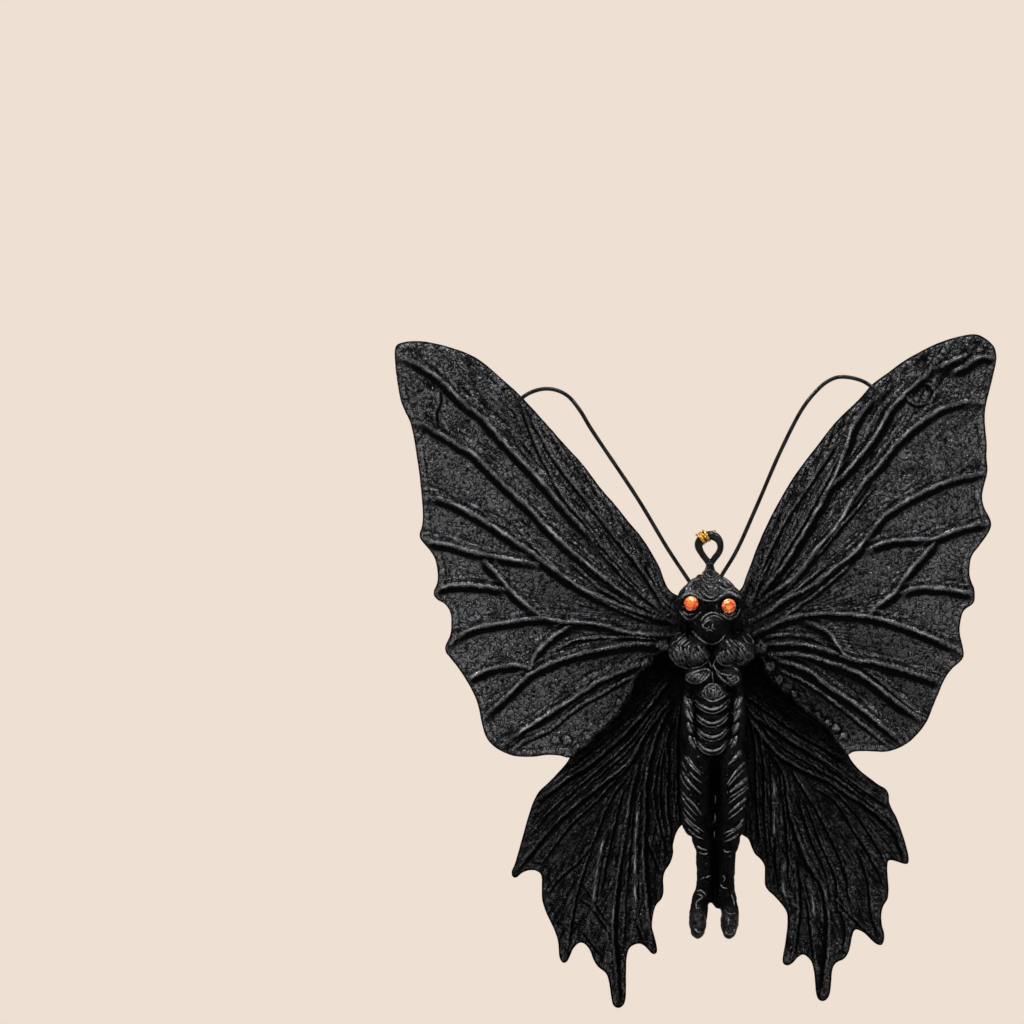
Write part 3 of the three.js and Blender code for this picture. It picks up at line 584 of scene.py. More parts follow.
# Belly: the rows of lumps down each flank with their strands from the top of each, and the rows of double
# arcs, each narrower than the one above
BELLY_ROWS = 4
FLANK_TOP = (685, 696)
FLANK_STEP = (1.5, 13)
FLANK_STRANDS = [(0.9, [(0, 0), (2, 6), (6, 13)]), (0.4, [(4, 2), (7, 9)])]
ARC_MIDDLE = BODY_MIDDLE - 1
ARC_TOP = 700
ARC_STEP = 13.7
ARC_HALF_WIDTH = 17
ARC_SAG = [(-9, 6), (0, 9), (9, 6)]
ARC_TILT = -1
ARC_STRANDS = [(0.6, 0), (0.35, 4)]

# Fur down the back, at the left of the middle: the rows, and a strand from the top of its row
BACK_ROWS = range(600, 840, 10)
BACK_WIDTH = 0.8
BACK_STRAND = [(709, 0), (699, 9), (690, 22)]

# Strands of the front, as (width in millimetres, grid points)
HEAD_LINES = [
    (0.7, [(680, 599), (685, 595.5), (691, 594), (699, 598), (706, 601), (712, 601.5)]),
    (0.7, [(741, 599), (736, 596), (729, 593), (722, 596), (716, 600.5), (712, 601.5)]),
    (0.5, [(684, 596), (690, 591), (697, 593), (703, 598)]),
    (0.5, [(722, 595), (729, 590), (736, 592), (740, 596)]),
    (0.5, [(680, 611), (685, 617), (690, 620), (696, 617), (701, 612)]),
    (0.4, [(683, 612), (688, 615), (694, 614)]),
    (0.5, [(720, 614), (728, 619), (736, 616), (740, 609)]),
    (0.4, [(723, 613), (729, 616), (735, 613)]),
    (0.6, [(702, 580), (694, 581), (690, 586), (692, 592), (698, 592), (700, 588), (696, 586)]),
    (0.9, [(693, 582), (688, 588), (686, 594)]),
    (1.1, [(717, 581), (723, 583), (727, 588)]),
    (0.7, [(722, 578), (729, 583), (736, 589)]),
    (0.6, [(719, 587), (724, 590), (730, 592)]),
    (0.6, [(702, 585), (706, 590), (710, 594)]),
    (0.6, [(718, 585), (715, 590), (711, 594)]),
    (0.5, [(700, 591), (706, 596), (712, 598), (718, 594)]),
    (0.55, [(706, 585), (711, 588), (716, 585)]),
    (0.5, [(704, 573.5), (702.5, 578), (705, 582), (711, 583.5)]),
    (0.5, [(718, 573.5), (720, 578), (717, 582), (711, 583.5)]),
    (0.45, [(704.5, 576), (707, 579.5), (711, 580.5), (715, 579.5), (718, 575.5)]),
    (0.4, [(706, 573), (708.5, 576.5), (711.5, 577.5), (714.5, 576)]),
    (0.45, [(714, 582.5), (718, 580), (719.5, 577)]),
    (0.45, [(701, 621), (706, 615.5), (713, 613), (722, 616.5)]),
    (0.45, [(704, 622), (709, 618), (716, 616.5), (723, 620.5)]),
    (0.45, [(703, 625), (707, 621.5), (712, 620)]),
    (0.4, [(702, 624), (704, 628), (708, 629), (709, 626)]),
    (0.4, [(713, 624), (712, 628), (716, 629.5)]),
    (0.35, [(706, 631), (710, 630), (713, 632)]),
    (0.5, [(692, 631), (699, 638), (706, 643), (712, 644), (719, 642), (725, 635)]),
]
RUFF_LINES = [
    (0.4, [(676, 642.5), (680.5, 637.5), (686, 633.5)]),
    (0.45, [(678, 644.5), (683, 640), (688, 636)]),
    (0.45, [(680, 646), (685, 641), (690, 638)]),
    (0.35, [(683.5, 646.5), (687, 644.5), (690.5, 641)]),
    (0.35, [(671.5, 645.5), (673.5, 643), (676.5, 641)]),
    (0.35, [(676, 636), (678, 633.5), (681, 633)]),
    (0.5, [
        (671, 649), (670, 654), (673.5, 660), (680, 666.5),
        (690, 668.5), (701, 666), (707.5, 661), (708.5, 655),
    ]),
    (0.4, [(676.5, 645.5), (679.5, 653), (678, 659)]),
    (0.4, [(681, 646.5), (682, 654), (688, 656)]),
    (0.4, [(688, 653), (689.5, 662), (697.5, 665.5)]),
    (0.45, [(693.5, 648.5), (691.5, 656), (696.5, 663)]),
    (0.5, [(697.5, 645.5), (703, 652.5), (705, 655)]),
    (0.4, [(683, 656), (685, 662), (682, 665.5)]),
    (0.35, [(674, 650), (675, 656), (679.5, 662)]),
    (0.35, [(698, 652), (700, 659), (704, 662)]),
    (0.4, [(729, 639), (735, 645), (741, 649.5)]),
    (0.35, [(734.5, 640), (738.5, 644), (741.5, 648)]),
    (0.5, [(726, 640), (728.5, 645), (732, 648.5)]),
    (0.4, [(742.5, 636), (745, 640.5), (748, 643.5)]),
    (0.4, [(746, 634), (753.5, 639.5), (753, 643.5), (747.5, 643)]),
    (0.5, [
        (716.5, 655), (718, 661), (724, 665.5), (732, 665.5),
        (736, 669.5), (741.5, 671), (746, 667.5), (751.5, 661),
    ]),
    (0.5, [(751.5, 661), (752.5, 656), (748, 652.5)]),
    (0.5, [(726.5, 649.5), (731, 656), (736, 659)]),
    (0.45, [(730, 646.5), (735.5, 656), (741.5, 659)]),
    (0.4, [(739.5, 648.5), (743.5, 656), (746, 662)]),
    (0.4, [(734, 662), (740.5, 664.5), (744.5, 660)]),
    (0.35, [(723.5, 650.5), (722.5, 658), (726, 663)]),
    (0.4, [(744.5, 653.5), (749, 654.5), (750, 660)]),
    (0.4, [(673, 647), (677, 650), (680, 656), (682, 662)]),
    (0.4, [(685, 648), (686.5, 653), (690, 657)]),
    (0.4, [(690, 645), (688, 650), (690, 655)]),
    (0.4, [(694, 654), (698, 658), (700, 664)]),
    (0.4, [(700, 649), (701, 655), (706, 659)]),
    (0.4, [(686, 658), (688, 663), (692, 667)]),
    (0.4, [(721, 652), (719.5, 657), (722, 663)]),
    (0.4, [(728, 653), (729, 659), (733, 664)]),
    (0.4, [(733, 648), (739, 653), (743, 659)]),
    (0.4, [(736, 661), (739, 667), (744, 666)]),
    (0.4, [(743, 648), (746.5, 652), (748, 658)]),
    (0.4, [(738, 642), (743, 646), (747, 650)]),
    (0.4, [(703.5, 654), (708.5, 660.5), (711, 668)]),
    (0.4, [(719, 655), (715, 660.5), (712, 668)]),
]
BREAST_LINES = [
    (0.45, [
        (685, 676.5), (693.5, 672.5), (706, 669), (710, 671.5),
        (706, 678), (697.5, 683), (689, 681.5), (685, 676.5),
    ]),
    (0.4, [(688, 679), (690, 675.5), (694, 674)]),
    (0.4, [(691.5, 680.5), (695, 676), (699.5, 673)]),
    (0.45, [(695.5, 681.5), (700, 677), (704, 672)]),
    (0.4, [(700, 680.5), (704, 676.5), (708, 671)]),
    (0.4, [(713, 664.5), (716.5, 670.5), (724, 674.5), (734, 675.5)]),
    (0.45, [(715.5, 671.5), (722, 679), (732, 686.5)]),
    (0.5, [(729, 679), (736.5, 676), (738, 680), (732, 684)]),
    (0.4, [(727, 676.5), (731, 680.5), (736, 681.5)]),
    (0.3, [(712, 671.5), (712.5, 677), (713.5, 683)]),
    (0.4, [
        (698, 695.5), (703, 691.5), (706, 686.5), (712.5, 683.5),
        (718.5, 686.5), (720.5, 690), (727.5, 693.5),
    ]),
    (0.4, [(727.5, 693.5), (721.5, 697.5), (715.5, 700.5), (711, 701), (705, 698), (698, 695.5)]),
    (0.4, [(706, 689), (705.5, 693), (707, 697)]),
    (0.4, [(709.5, 686), (709, 690), (710.5, 694)]),
    (0.45, [(713.5, 687.5), (713, 693), (714, 698.5)]),
    (0.4, [(718, 689), (717.5, 692), (716.5, 695.5)]),
    (0.4, [(722.5, 692), (721, 694), (719.5, 696.5)]),
    (0.4, [(702, 693.5), (703, 695.5), (705, 696.5)]),
]
THIGH_LINES = [
    (0.4, [(681, 757), (683.5, 764), (687, 770)]),
    (0.5, [(684.5, 754), (691.5, 765.5), (700.5, 774)]),
    (0.35, [(688, 756), (694, 765), (701, 772)]),
    (0.4, [(680.5, 774), (684.5, 783), (690, 789.5)]),
    (0.5, [(682.5, 771), (690, 782), (701, 792.5)]),
    (0.35, [(689.5, 771), (696, 778), (702, 782)]),
    (0.5, [(678.5, 784), (683.5, 793), (694.5, 804), (702.5, 815)]),
    (0.4, [(679, 791.5), (687.5, 804), (697, 814.5)]),
    (0.35, [(680.5, 801), (688, 812), (696, 820)]),
    (0.5, [(682, 811), (691.5, 822), (704, 831)]),
    (0.4, [(684, 817.5), (693, 826.5), (700, 832)]),
    (0.4, [(688, 828), (696, 835), (703, 838)]),
    (0.8, [(740, 750.5), (734, 758), (728, 764)]),
    (0.5, [(744.5, 761), (734, 772.5), (727, 783)]),
    (0.4, [(744, 768), (735, 777), (728, 785)]),
    (0.9, [(748.5, 776), (737, 785), (729.5, 791)]),
    (0.4, [(749, 782.5), (738, 791), (729, 796.5)]),
    (0.4, [(748, 786.5), (737, 795.5), (728.5, 802)]),
    (0.6, [(745.5, 797), (734, 807), (727.5, 813)]),
    (0.4, [(745, 804), (736, 812), (728, 818)]),
    (0.6, [(743, 817.5), (737, 826), (723, 832.5)]),
    (0.4, [(742, 824), (734, 830), (725, 836)]),
    (0.4, [(738, 833), (731, 838), (723, 841)]),
]
SHIN_LINES = [
    (0.4, [(697, 845), (702, 848), (707, 849)]),
    (0.4, [(698, 851), (703, 853), (708, 852)]),
    (0.35, [(700, 879), (702, 877), (704.5, 876)]),
    (0.45, [(705.5, 876.5), (708, 875), (710.5, 874.5)]),
    (0.45, [(696.5, 890.5), (700.5, 889), (706, 894)]),
    (0.35, [(697, 893), (700, 893.5), (703, 896)]),
    (0.35, [(702, 896), (696, 902), (697, 908), (700, 904)]),
    (0.35, [(694.5, 926), (698, 930), (702, 928.5)]),
    (0.35, [(722.5, 848), (726, 851), (730.5, 850)]),
    (0.4, [(722.5, 874), (724.5, 877), (723, 880.5)]),
    (0.4, [(720, 883), (723, 886.5), (727, 887)]),
    (0.35, [(731, 893), (733, 899), (734, 905)]),
    (0.35, [(724, 908), (729, 912), (735, 911)]),
    (0.4, [(729, 916.5), (727.5, 920), (729, 923.5)]),
    (0.35, [(724.5, 929), (727.5, 932), (732, 931), (734.5, 926)]),
    (0.35, [(715, 795), (715.5, 799), (714.5, 803)]),
    (0.35, [(714.5, 813), (715, 817), (714.5, 821)]),
    (0.35, [(714.5, 830), (714, 834), (714.5, 838)]),
]


# Lines and tubes


def on_grid(points):
    """Grid points as [x, z] in millimetres."""
    steps = np.asarray(points, float) - GRID_ORIGIN
    return steps * (GRID_PITCH, -GRID_PITCH)


def lengths_along(points):
    """How long a line is up to each of its points."""
    return np.concatenate(([0], np.cumsum(np.linalg.norm(np.diff(points, axis=0), axis=1))))


def smooth_line(points, step):
    """A centripetal Catmull-Rom line through the points, resampled at an even step."""
    given = np.asarray(points, float)
    ends = np.vstack((2 * given[0] - given[1], given, 2 * given[-1] - given[-2]))
    stretches = []
    for four in zip(ends, ends[1:], ends[2:], ends[3:]):
        knots = np.concatenate(([0], np.cumsum(np.sqrt(np.linalg.norm(np.diff(four, axis=0), axis=1)))))
        at = np.linspace(knots[1], knots[2], CURVE_STEPS, endpoint=False)[:, None]

        def between(low, high, i, j):
            return ((knots[j] - at) * low + (at - knots[i]) * high) / (knots[j] - knots[i])

        first = [between(four[i], four[i + 1], i, i + 1) for i in range(3)]
        second = [between(first[i], first[i + 1], i, i + 2) for i in range(2)]
        stretches.append(between(second[0], second[1], 1, 2))
    fine = np.vstack((*stretches, given[-1:]))
    run = lengths_along(fine)
    even = np.linspace(0, run[-1], max(2, round(run[-1] / step) + 1))
    return np.column_stack([np.interp(even, run, fine[:, axis]) for axis in range(given.shape[1])])


def frames_along(points):
    """Two directions square to a line at each point, carried along it without twist."""
    tangents = np.gradient(points, axis=0)
    tangents /= np.linalg.norm(tangents, axis=1)[:, None]
    no_tangent = (0.31, 0.27, 0.91)
    side = np.cross(tangents[0], no_tangent)
    sides = []
    for tangent in tangents:
        side = side - tangent * side.dot(tangent)
        side = side / np.linalg.norm(side)
        sides.append(side)
    sides = np.array(sides)
    return sides, np.cross(tangents, sides)


def ring_faces(rings, sides):
    """Faces of a closed solid: its vertices are rings of so many sides, then the middles of its two ends."""
    faces = []
    for ring in range(rings - 1):
        for i in range(sides):
            here, there = ring * sides + i, ring * sides + (i + 1) % sides
            faces.append((here, there, there + sides, here + sides))
    last_ring = (rings - 1) * sides
    first_middle = rings * sides
    for i in range(sides):
        faces.append((first_middle, (i + 1) % sides, i))
        faces.append((first_middle + 1, last_ring + i, last_ring + (i + 1) % sides))
    return faces


def tube(points, radius, sides, plies=0):
    """Vertices and faces of a closed tube. The radius is one number or one for each point, and a plied tube
    has that many twisted strands in its section."""
    points = np.asarray(points, float)
    across, over = frames_along(points)
    turn = np.linspace(0, 2 * np.pi, sides, endpoint=False)
    reach = np.broadcast_to(radius, len(points))[:, None] * np.ones(sides)
    if plies:
        lay = 2 * np.pi * lengths_along(points) / PLY_LAY
        reach = reach * (1 - PLY_DEPTH + PLY_DEPTH * np.cos(plies * (turn[None] - lay[:, None])))
    outward = np.cos(turn)[None, :, None] * across[:, None] + np.sin(turn)[None, :, None] * over[:, None]
    rings = points[:, None] + reach[..., None] * outward
    return np.vstack((rings.reshape(-1, 3), points[:1], points[-1:])), ring_faces(len(points), sides)


def turned(profile, sides):
    """Vertices and faces of a solid turned about Z, from [radius, height] points that start and end on Z."""
    angles = np.linspace(0, 2 * np.pi, sides, endpoint=False)
    vertices = [(r * math.cos(a), r * math.sin(a), h) for r, h in profile[1:-1] for a in angles]
    vertices += [(0, 0, profile[0][1]), (0, 0, profile[-1][1])]
    return np.array(vertices), ring_faces(len(profile) - 2, sides)


def together(solids):
    """Several (vertices, faces) as one."""
    vertices, faces, start = [], [], 0
    for points, corners in solids:
        vertices.append(points)
        faces += [tuple(start + i for i in face) for face in corners]
        start += len(points)
    return np.vstack(vertices), faces


# Meshes


def vectors(mesh, kind):
    """The place of each vertex, "co", or its "normal"."""
    flat = np.empty(len(mesh.vertices) * 3, np.float32)
    mesh.vertices.foreach_get(kind, flat)
    return flat.reshape(-1, 3).astype(float)


def edges_of(mesh):
    flat = np.empty(len(mesh.edges) * 2, np.int32)
    mesh.edges.foreach_get("vertices", flat)
    return flat.reshape(-1, 2)


def faces_of(mesh):
    return [tuple(polygon.vertices) for polygon in mesh.polygons]


def move_vertices(mesh, points):
    mesh.vertices.foreach_set("co", np.ascontiguousarray(points, np.float32).ravel())
    mesh.update()


def plain_mesh(name, vertices, faces):
    mesh = bpy.data.meshes.new(name)
    mesh.from_pydata([tuple(point) for point in vertices], [], faces)
    mesh.update()
    return mesh


def add_object(name, data):
    made = bpy.data.objects.new(name, data)
    bpy.context.scene.collection.objects.link(made)
    return made


def remeshed(mesh, voxel):
    """A closed mesh of even small faces round a mesh in millimetres."""
    holder = add_object("remeshing", mesh)
    modifier = holder.modifiers.new("even faces", "REMESH")
    modifier.mode = "VOXEL"
    modifier.voxel_size = voxel
    depsgraph = bpy.context.evaluated_depsgraph_get()
    made = bpy.data.meshes.new_from_object(holder.evaluated_get(depsgraph), depsgraph=depsgraph)
    bpy.data.objects.remove(holder)
    return made


def neighbour_mean(values, edges):
    count = np.bincount(edges.ravel(), minlength=len(values))
    total = np.empty_like(values)
    for axis in range(values.shape[1]):
        total[:, axis] = np.bincount(edges[:, 0], values[edges[:, 1], axis], len(values))
        total[:, axis] += np.bincount(edges[:, 1], values[edges[:, 0], axis], len(values))
    return total / np.maximum(count, 1)[:, None]


def smoothed(points, edges, rounds):
    """Evens out a mesh, a step in and a slightly larger step out, so that it doesn't shrink."""
    for _ in range(rounds):
        for amount in (0.5, -0.52):
            points = points + amount * (neighbour_mean(points, edges) - points)
    return points


def keep_values(mesh, name, values, domain="POINT"):
    """Keeps a value on each vertex or face for a material to read."""
    kept = mesh.attributes.new(name, "FLOAT", domain)
    kept.data.foreach_set("value", np.asarray(values, np.float32))


def mark_crests(mesh, voxel):
    """Keeps on each vertex whether it is on a crest, towards 1, or in a groove, towards -1."""
    points, edges = vectors(mesh, "co"), edges_of(mesh)
    rise = ((points - neighbour_mean(points, edges)) * vectors(mesh, "normal")).sum(axis=1)[:, None]
    for _ in range(2):
        rise = (rise + neighbour_mean(rise, edges)) / 2
    full_crest = 0.2 * voxel
    keep_values(mesh, "crest", np.clip(rise[:, 0] / full_crest, -1, 1))


def piece(name, mesh, body, nodes, material, smooth=True):
    """Hands a mesh in millimetres to Blender as a piece of the object that stands for CAD nodes."""
    move_vertices(mesh, vectors(mesh, "co") * MM)
    mesh.polygons.foreach_set("use_smooth", [smooth] * len(mesh.polygons))
    mesh.materials.clear()
    mesh.materials.append(material)
    made = add_object(name, mesh)
    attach(made, body)
    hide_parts(*nodes)
    return made


# Noise and soft steps


def grain(points, size, seed):
    """Smooth noise from -1 to 1 whose lumps are about as far apart as size, at places or flat points."""
    scaled = points / size
    if scaled.shape[1] == 2:
        scaled = np.column_stack((scaled, np.zeros(len(scaled))))
    return np.array([noise.noise(place) for place in (scaled + (0, 0, seed)).tolist()])


def layered(points, layers):
    """Noise in layers of (height, size, seed)."""
    return sum(height * grain(points, size, seed) for height, size, seed in layers)


def step_up(low, high, values):
    """A soft step from 0 at the low value to 1 at the high one."""
    share = np.clip((values - low) / (high - low), 0, 1)
    return share * share * (3 - 2 * share)


def bell(values, middle, width):
    return np.exp(-(((values - middle) / width) ** 2))


def within(flat, x, y, half_width, half_height):
    """How far each flat point is inside a soft oval on the grid."""
    across = (flat - on_grid((x, y))) / (half_width * GRID_PITCH, half_height * GRID_PITCH)
    return np.exp(-((across**2).sum(axis=1) ** 2))


# Materials


def plug(tree, made, inputs):
    """Links a node's inputs to sockets, and sets the others to their values."""
    for key, value in inputs.items():
        if isinstance(value, bpy.types.NodeSocket):
            tree.links.new(value, made.inputs[key])
        else:
            made.inputs[key].default_value = value


def node(tree, kind, inputs=None, **settings):
    made = tree.nodes.new(kind)
    for key, value in settings.items():
        setattr(made, key, value)
    plug(tree, made, inputs or {})
    return made


def new_material(name):
    material = bpy.data.materials.new(name)
    material.use_nodes = True
    tree = material.node_tree
    return material, tree, tree.nodes["Principled BSDF"]


def attribute(tree, name):
    return node(tree, "ShaderNodeAttribute", attribute_name=name).outputs["Fac"]


def calculated(tree, operation, *values):
    return node(tree, "ShaderNodeMath", dict(enumerate(values)), operation=operation).outputs["Value"]


def product(tree, *values):
    """Several values multiplied together."""
    total = values[0]
    for value in values[1:]:
        total = calculated(tree, "MULTIPLY", total, value)
    return total


def blend(tree, share, low, high):
    """One value where the share is 0, the other where it is 1."""
    return node(tree, "ShaderNodeMix", {0: share, 2: low, 3: high}).outputs[0]


def mapped(tree, value, given, wanted=(0, 1)):
    """A value taken from the given range to the wanted one, and held at its ends."""
    inputs = {"Value": value, "From Min": given[0], "From Max": given[1]}
    inputs |= {"To Min": wanted[0], "To Max": wanted[1]}
    return node(tree, "ShaderNodeMapRange", inputs).outputs["Result"]


def colour_ramp(tree, value, stops):
    """Colours between stops of (place, colour)."""
    ramp = node(tree, "ShaderNodeValToRGB", {"Fac": value})
    elements = ramp.color_ramp.elements
    while len(elements) < len(stops):
        elements.new(0.5)
    for element, (place, colour) in zip(elements, stops):
        element.position = place
        element.color = (*colour, 1)
    return ramp.outputs["Color"]


def bump(tree, height, distance, strength, below=None):
    """A bumpy normal, on top of another where one is given."""
    inputs = {"Height": height, "Distance": distance * MM, "Strength": strength}
    if below:
        inputs["Normal"] = below
    return node(tree, "ShaderNodeBump", inputs).outputs["Normal"]


def object_place(tree):
    return node(tree, "ShaderNodeTexCoord").outputs["Object"]


def noise_at(tree, place, scale, detail, roughness, swirl=0.0):
    inputs = {"Vector": place, "Scale": scale, "Detail": detail, "Roughness": roughness, "Distortion": swirl}
    return node(tree, "ShaderNodeTexNoise", inputs).outputs["Fac"]


def object_noise(tree, size, detail=2.0, roughness=0.5, swirl=0.0):
    """Noise in the object's own coordinates, with lumps about size millimetres apart."""
    return noise_at(tree, object_place(tree), 1 / (size * MM), detail, roughness, swirl)


def streaks(tree, root):
    """Noise drawn out along lines that meet at a wing's root, given in millimetres."""
    inputs = {0: object_place(tree), 1: Vector(root) * MM}
    away = node(tree, "ShaderNodeVectorMath", inputs, operation="SUBTRACT").outputs["Vector"]
    parts = node(tree, "ShaderNodeSeparateXYZ", {"Vector": away}).outputs
    angle = calculated(tree, "ARCTAN2", parts["Z"], parts["X"])
    radius = node(tree, "ShaderNodeVectorMath", {0: away}, operation="LENGTH").outputs["Value"]
    inputs = {
        "X": product(tree, angle, STREAKS_PER_RADIAN),
        "Y": product(tree, radius, 1 / (STREAK_LENGTH * MM)),
    }
    place = node(tree, "ShaderNodeCombineXYZ", inputs).outputs["Vector"]
    return noise_at(tree, place, scale=1.0, detail=3.0, roughness=0.6)


def crinkles(tree, size):
    """Winding crevices, at zero, between rounded crumbs, at one: the grain of leather."""
    waves = object_noise(tree, size, detail=1, swirl=0.6)
    from_middle = calculated(tree, "ABSOLUTE", calculated(tree, "SUBTRACT", waves, 0.5))
    return mapped(tree, from_middle, (0, 0.12))


def resin_material(name, painted_light_level, root=None):
    """Satin black paint with painted shade in its grooves, in the painted shadows below the raised lines and
    in the crevices of a leathery grain that is coarser where the face is rough, a painted highlight on the
    raised lines, and pale specks as painted glints. A wing has streaks that meet at its root as well, with
    painted shade between them."""
    material, tree, shader = new_material(name)
    lines, rough, crest = (attribute(tree, kept) for kept in ("lines", "rough", "crest"))
    raised = mapped(tree, lines, (0.15, 0.75))
    leather = crinkles(tree, size=0.78)
    fine = mapped(tree, leather, (0.1, 0.8), (0.03, 1))
    if root:
        rays = streaks(tree, root)
        between_rays = mapped(tree, rays, (0.42, 0.53), (0.04, 1))
        coarse = product(tree, mapped(tree, leather, (0.15, 0.85), (0.02, 1)), between_rays)
        streaked = bump(tree, rays, distance=0.3, strength=rough)
        glints_in_shade = 0
    else:
        coarse = mapped(tree, leather, (0.2, 0.9), (0.01, 1))
        streaked = None
        glints_in_shade = 0.35

    # Painted shade: paint and sheen go dark in the grain's crevices, in grooves and in painted shadow
    least_on_lines = product(tree, raised, 0.6)
    grainy = calculated(tree, "MAXIMUM", blend(tree, rough, fine, coarse), least_on_lines)
    shade_in_grooves = mapped(tree, crest, (-0.6, 0.2), (0.05, 1))
    painted_shade = mapped(tree, lines, (-0.7, 0), (0.005, 1))
    patches = mapped(tree, object_noise(tree, size=7, detail=3), (0.3, 0.7), (0.8, 1))
    unshaded_and_mottled = product(tree, grainy, shade_in_grooves, painted_shade, patches)
    # Painted light level: scales colours and sheen, so the hindwings are a painted-shade copy of this paint
    halfway, full, sheen = (
        tuple(painted_light_level * part for part in colour) for colour in (PAINT_HALFWAY, PAINT_UNSHADED, PAINT_SHEEN)
    )
    paint = colour_ramp(tree, unshaded_and_mottled, [(0, PAINT_IN_SHADE), (0.5, halfway), (1, full)])

    # Painted highlight: a pale line along the crests of the raised lines, broken into dashes by noise
    highlight_breaks = mapped(tree, object_noise(tree, size=2.6, detail=3), (0.38, 0.6), (0.2, 1))
    crest_highlight = product(tree, mapped(tree, lines, (0.78, 1), (0, 0.9 * painted_light_level**0.5)), highlight_breaks)
    # Painted glints: pale specks scattered over the paint, fewer in painted shade
    glint_dots = mapped(tree, object_noise(tree, size=0.45, detail=0), (0.79, 0.84), (0, 0.6 * painted_light_level))
    painted_glints = product(tree, glint_dots, mapped(tree, lines, (-0.45, -0.1), (glints_in_shade, 1)))
    pale = calculated(tree, "MAXIMUM", crest_highlight, painted_glints)

    off_lines = mapped(tree, lines, (-0.6, -0.1), (0.65, 0.36))
    less_on_lines = mapped(tree, raised, (0, 1), (1, 0.35))
    less_in_hollows = mapped(tree, lines, (-0.5, -0.05), (0.05, 1))
    strength = product(tree, less_on_lines, less_in_hollows)
    inputs = {0: pale, 6: paint, 7: PAINT_CREST_HIGHLIGHT}
    looks = {
        "Base Color": node(tree, "ShaderNodeMix", inputs, data_type="RGBA").outputs[2],
        "Specular Tint": colour_ramp(tree, unshaded_and_mottled, [(0, (0, 0, 0)), (1, sheen)]),
        "Specular IOR Level": 1.0,
        "Roughness": blend(tree, raised, off_lines, 0.2),
        "Normal": bump(tree, leather, distance=0.16, strength=strength, below=streaked),
    }
    plug(tree, shader, looks)
    return material


def wire_material():
    """Black lacquered wire, with faint drawing marks and a few dull places."""
    material, tree, shader = new_material("black_lacquered_wire")
    patches = object_noise(tree, size=1.3, detail=3, roughness=0.6)
    marks = object_noise(tree, size=0.5)
    colours = [(0.35, (0.0006, 0.0006, 0.0008)), (0.7, (0.006, 0.006, 0.007))]
    tints = [(0.35, (0.2, 0.23, 0.27)), (0.65, (0.42, 0.48, 0.55))]
    looks = {
        "Base Color": colour_ramp(tree, patches, colours),
        "Specular Tint": colour_ramp(tree, patches, tints),
        "Roughness": mapped(tree, patches, (0.3, 0.7), (0.1, 0.2)),
        "Normal": bump(tree, marks, distance=0.05, strength=0.5),
    }
    plug(tree, shader, looks)
    return material


def steel_material():
    """Bare steel of the hidden pins."""
    material, tree, shader = new_material("bare_steel")
    stains = object_noise(tree, size=0.3, detail=3, roughness=0.6)
    colours = [(0.3, (0.38, 0.39, 0.41)), (0.7, (0.52, 0.53, 0.55))]
    looks = {
        "Base Color": colour_ramp(tree, stains, colours),
        "Metallic": 1,
        "Roughness": mapped(tree, stains, (0.3, 0.7), (0.28, 0.42)),
    }
    plug(tree, shader, looks)
    return material


def gem_material():
    """Orange-red cut glass over foil, whose facets carry painted reflections in lighter and darker tones."""
    material, tree, shader = new_material("orange_cut_glass")
    colours = [
        (0.15, (0.42, 0.015, 0.002)),
        (0.4, (0.85, 0.08, 0.006)),
        (0.62, (1.0, 0.21, 0.02)),
        (0.85, (1.0, 0.42, 0.12)),
        (1, (1.0, 0.8, 0.55)),
    ]
    looks = {
        "Base Color": colour_ramp(tree, attribute(tree, "tone"), colours),
        "Metallic": 0.2,
        "Roughness": 0.15,
        "Coat Weight": 0.5,
        "Coat Roughness": 0.04,
    }
    plug(tree, shader, looks)
    return material


def thread_material():
    """Gold metallic thread: bright foil strip with darker turns between."""
    material, tree, shader = new_material("gold_metallic_thread")
    glitter = object_noise(tree, size=0.22, roughness=0.6)
    colours = [(0.34, (0.13, 0.045, 0.008)), (0.5, (0.6, 0.3, 0.035)), (0.68, (1.0, 0.64, 0.16))]
    looks = {
        "Base Color": colour_ramp(tree, glitter, colours),
        "Metallic": 0.85,
        "Roughness": mapped(tree, glitter, (0.3, 0.7), (0.42, 0.2)),
        "Normal": bump(tree, glitter, distance=0.06, strength=0.7),
    }
    plug(tree, shader, looks)
    return material


def floor_material():
    material, tree, shader = new_material("pale_floor")
    colours = [(0.4, (0.62, 0.575, 0.53)), (0.6, (0.64, 0.595, 0.55))]
    looks = {"Base Color": colour_ramp(tree, object_noise(tree, size=40), colours), "Roughness": 0.7}
    plug(tree, shader, looks)
    return material


# Camera, floor and light


def make_camera():
    """Looks straight at the front, and turns aside so that the origin falls on its point of the picture."""
    data = bpy.data.cameras.new("camera")
    data.lens = LENS
    data.sensor_width = SENSOR
    data.clip_start = CAMERA_NEAR * MM
    right, down = (place - FRAME_PIXELS / 2 for place in GRID_ORIGIN)
    rise = math.atan2(-CAMERA_HEIGHT, CAMERA_DISTANCE) + math.atan2(down, FOCAL_PIXELS)
    camera = add_object("camera", data)
    camera.location = (0, -CAMERA_DISTANCE * MM, CAMERA_HEIGHT * MM)
    camera.rotation_euler = (math.pi / 2 + rise, 0, math.atan2(right, FOCAL_PIXELS))
    bpy.context.scene.camera = camera


def make_floor():
    shape = bmesh.new()
    bmesh.ops.create_circle(shape, cap_ends=True, segments=96, radius=FLOOR_RADIUS * MM)
    mesh = bpy.data.meshes.new("floor")
    shape.to_mesh(mesh)
    shape.free()
    mesh.materials.append(floor_material())
    floor = add_object("floor", mesh)
    floor.location = (0, 0, FLOOR_HEIGHT * MM)


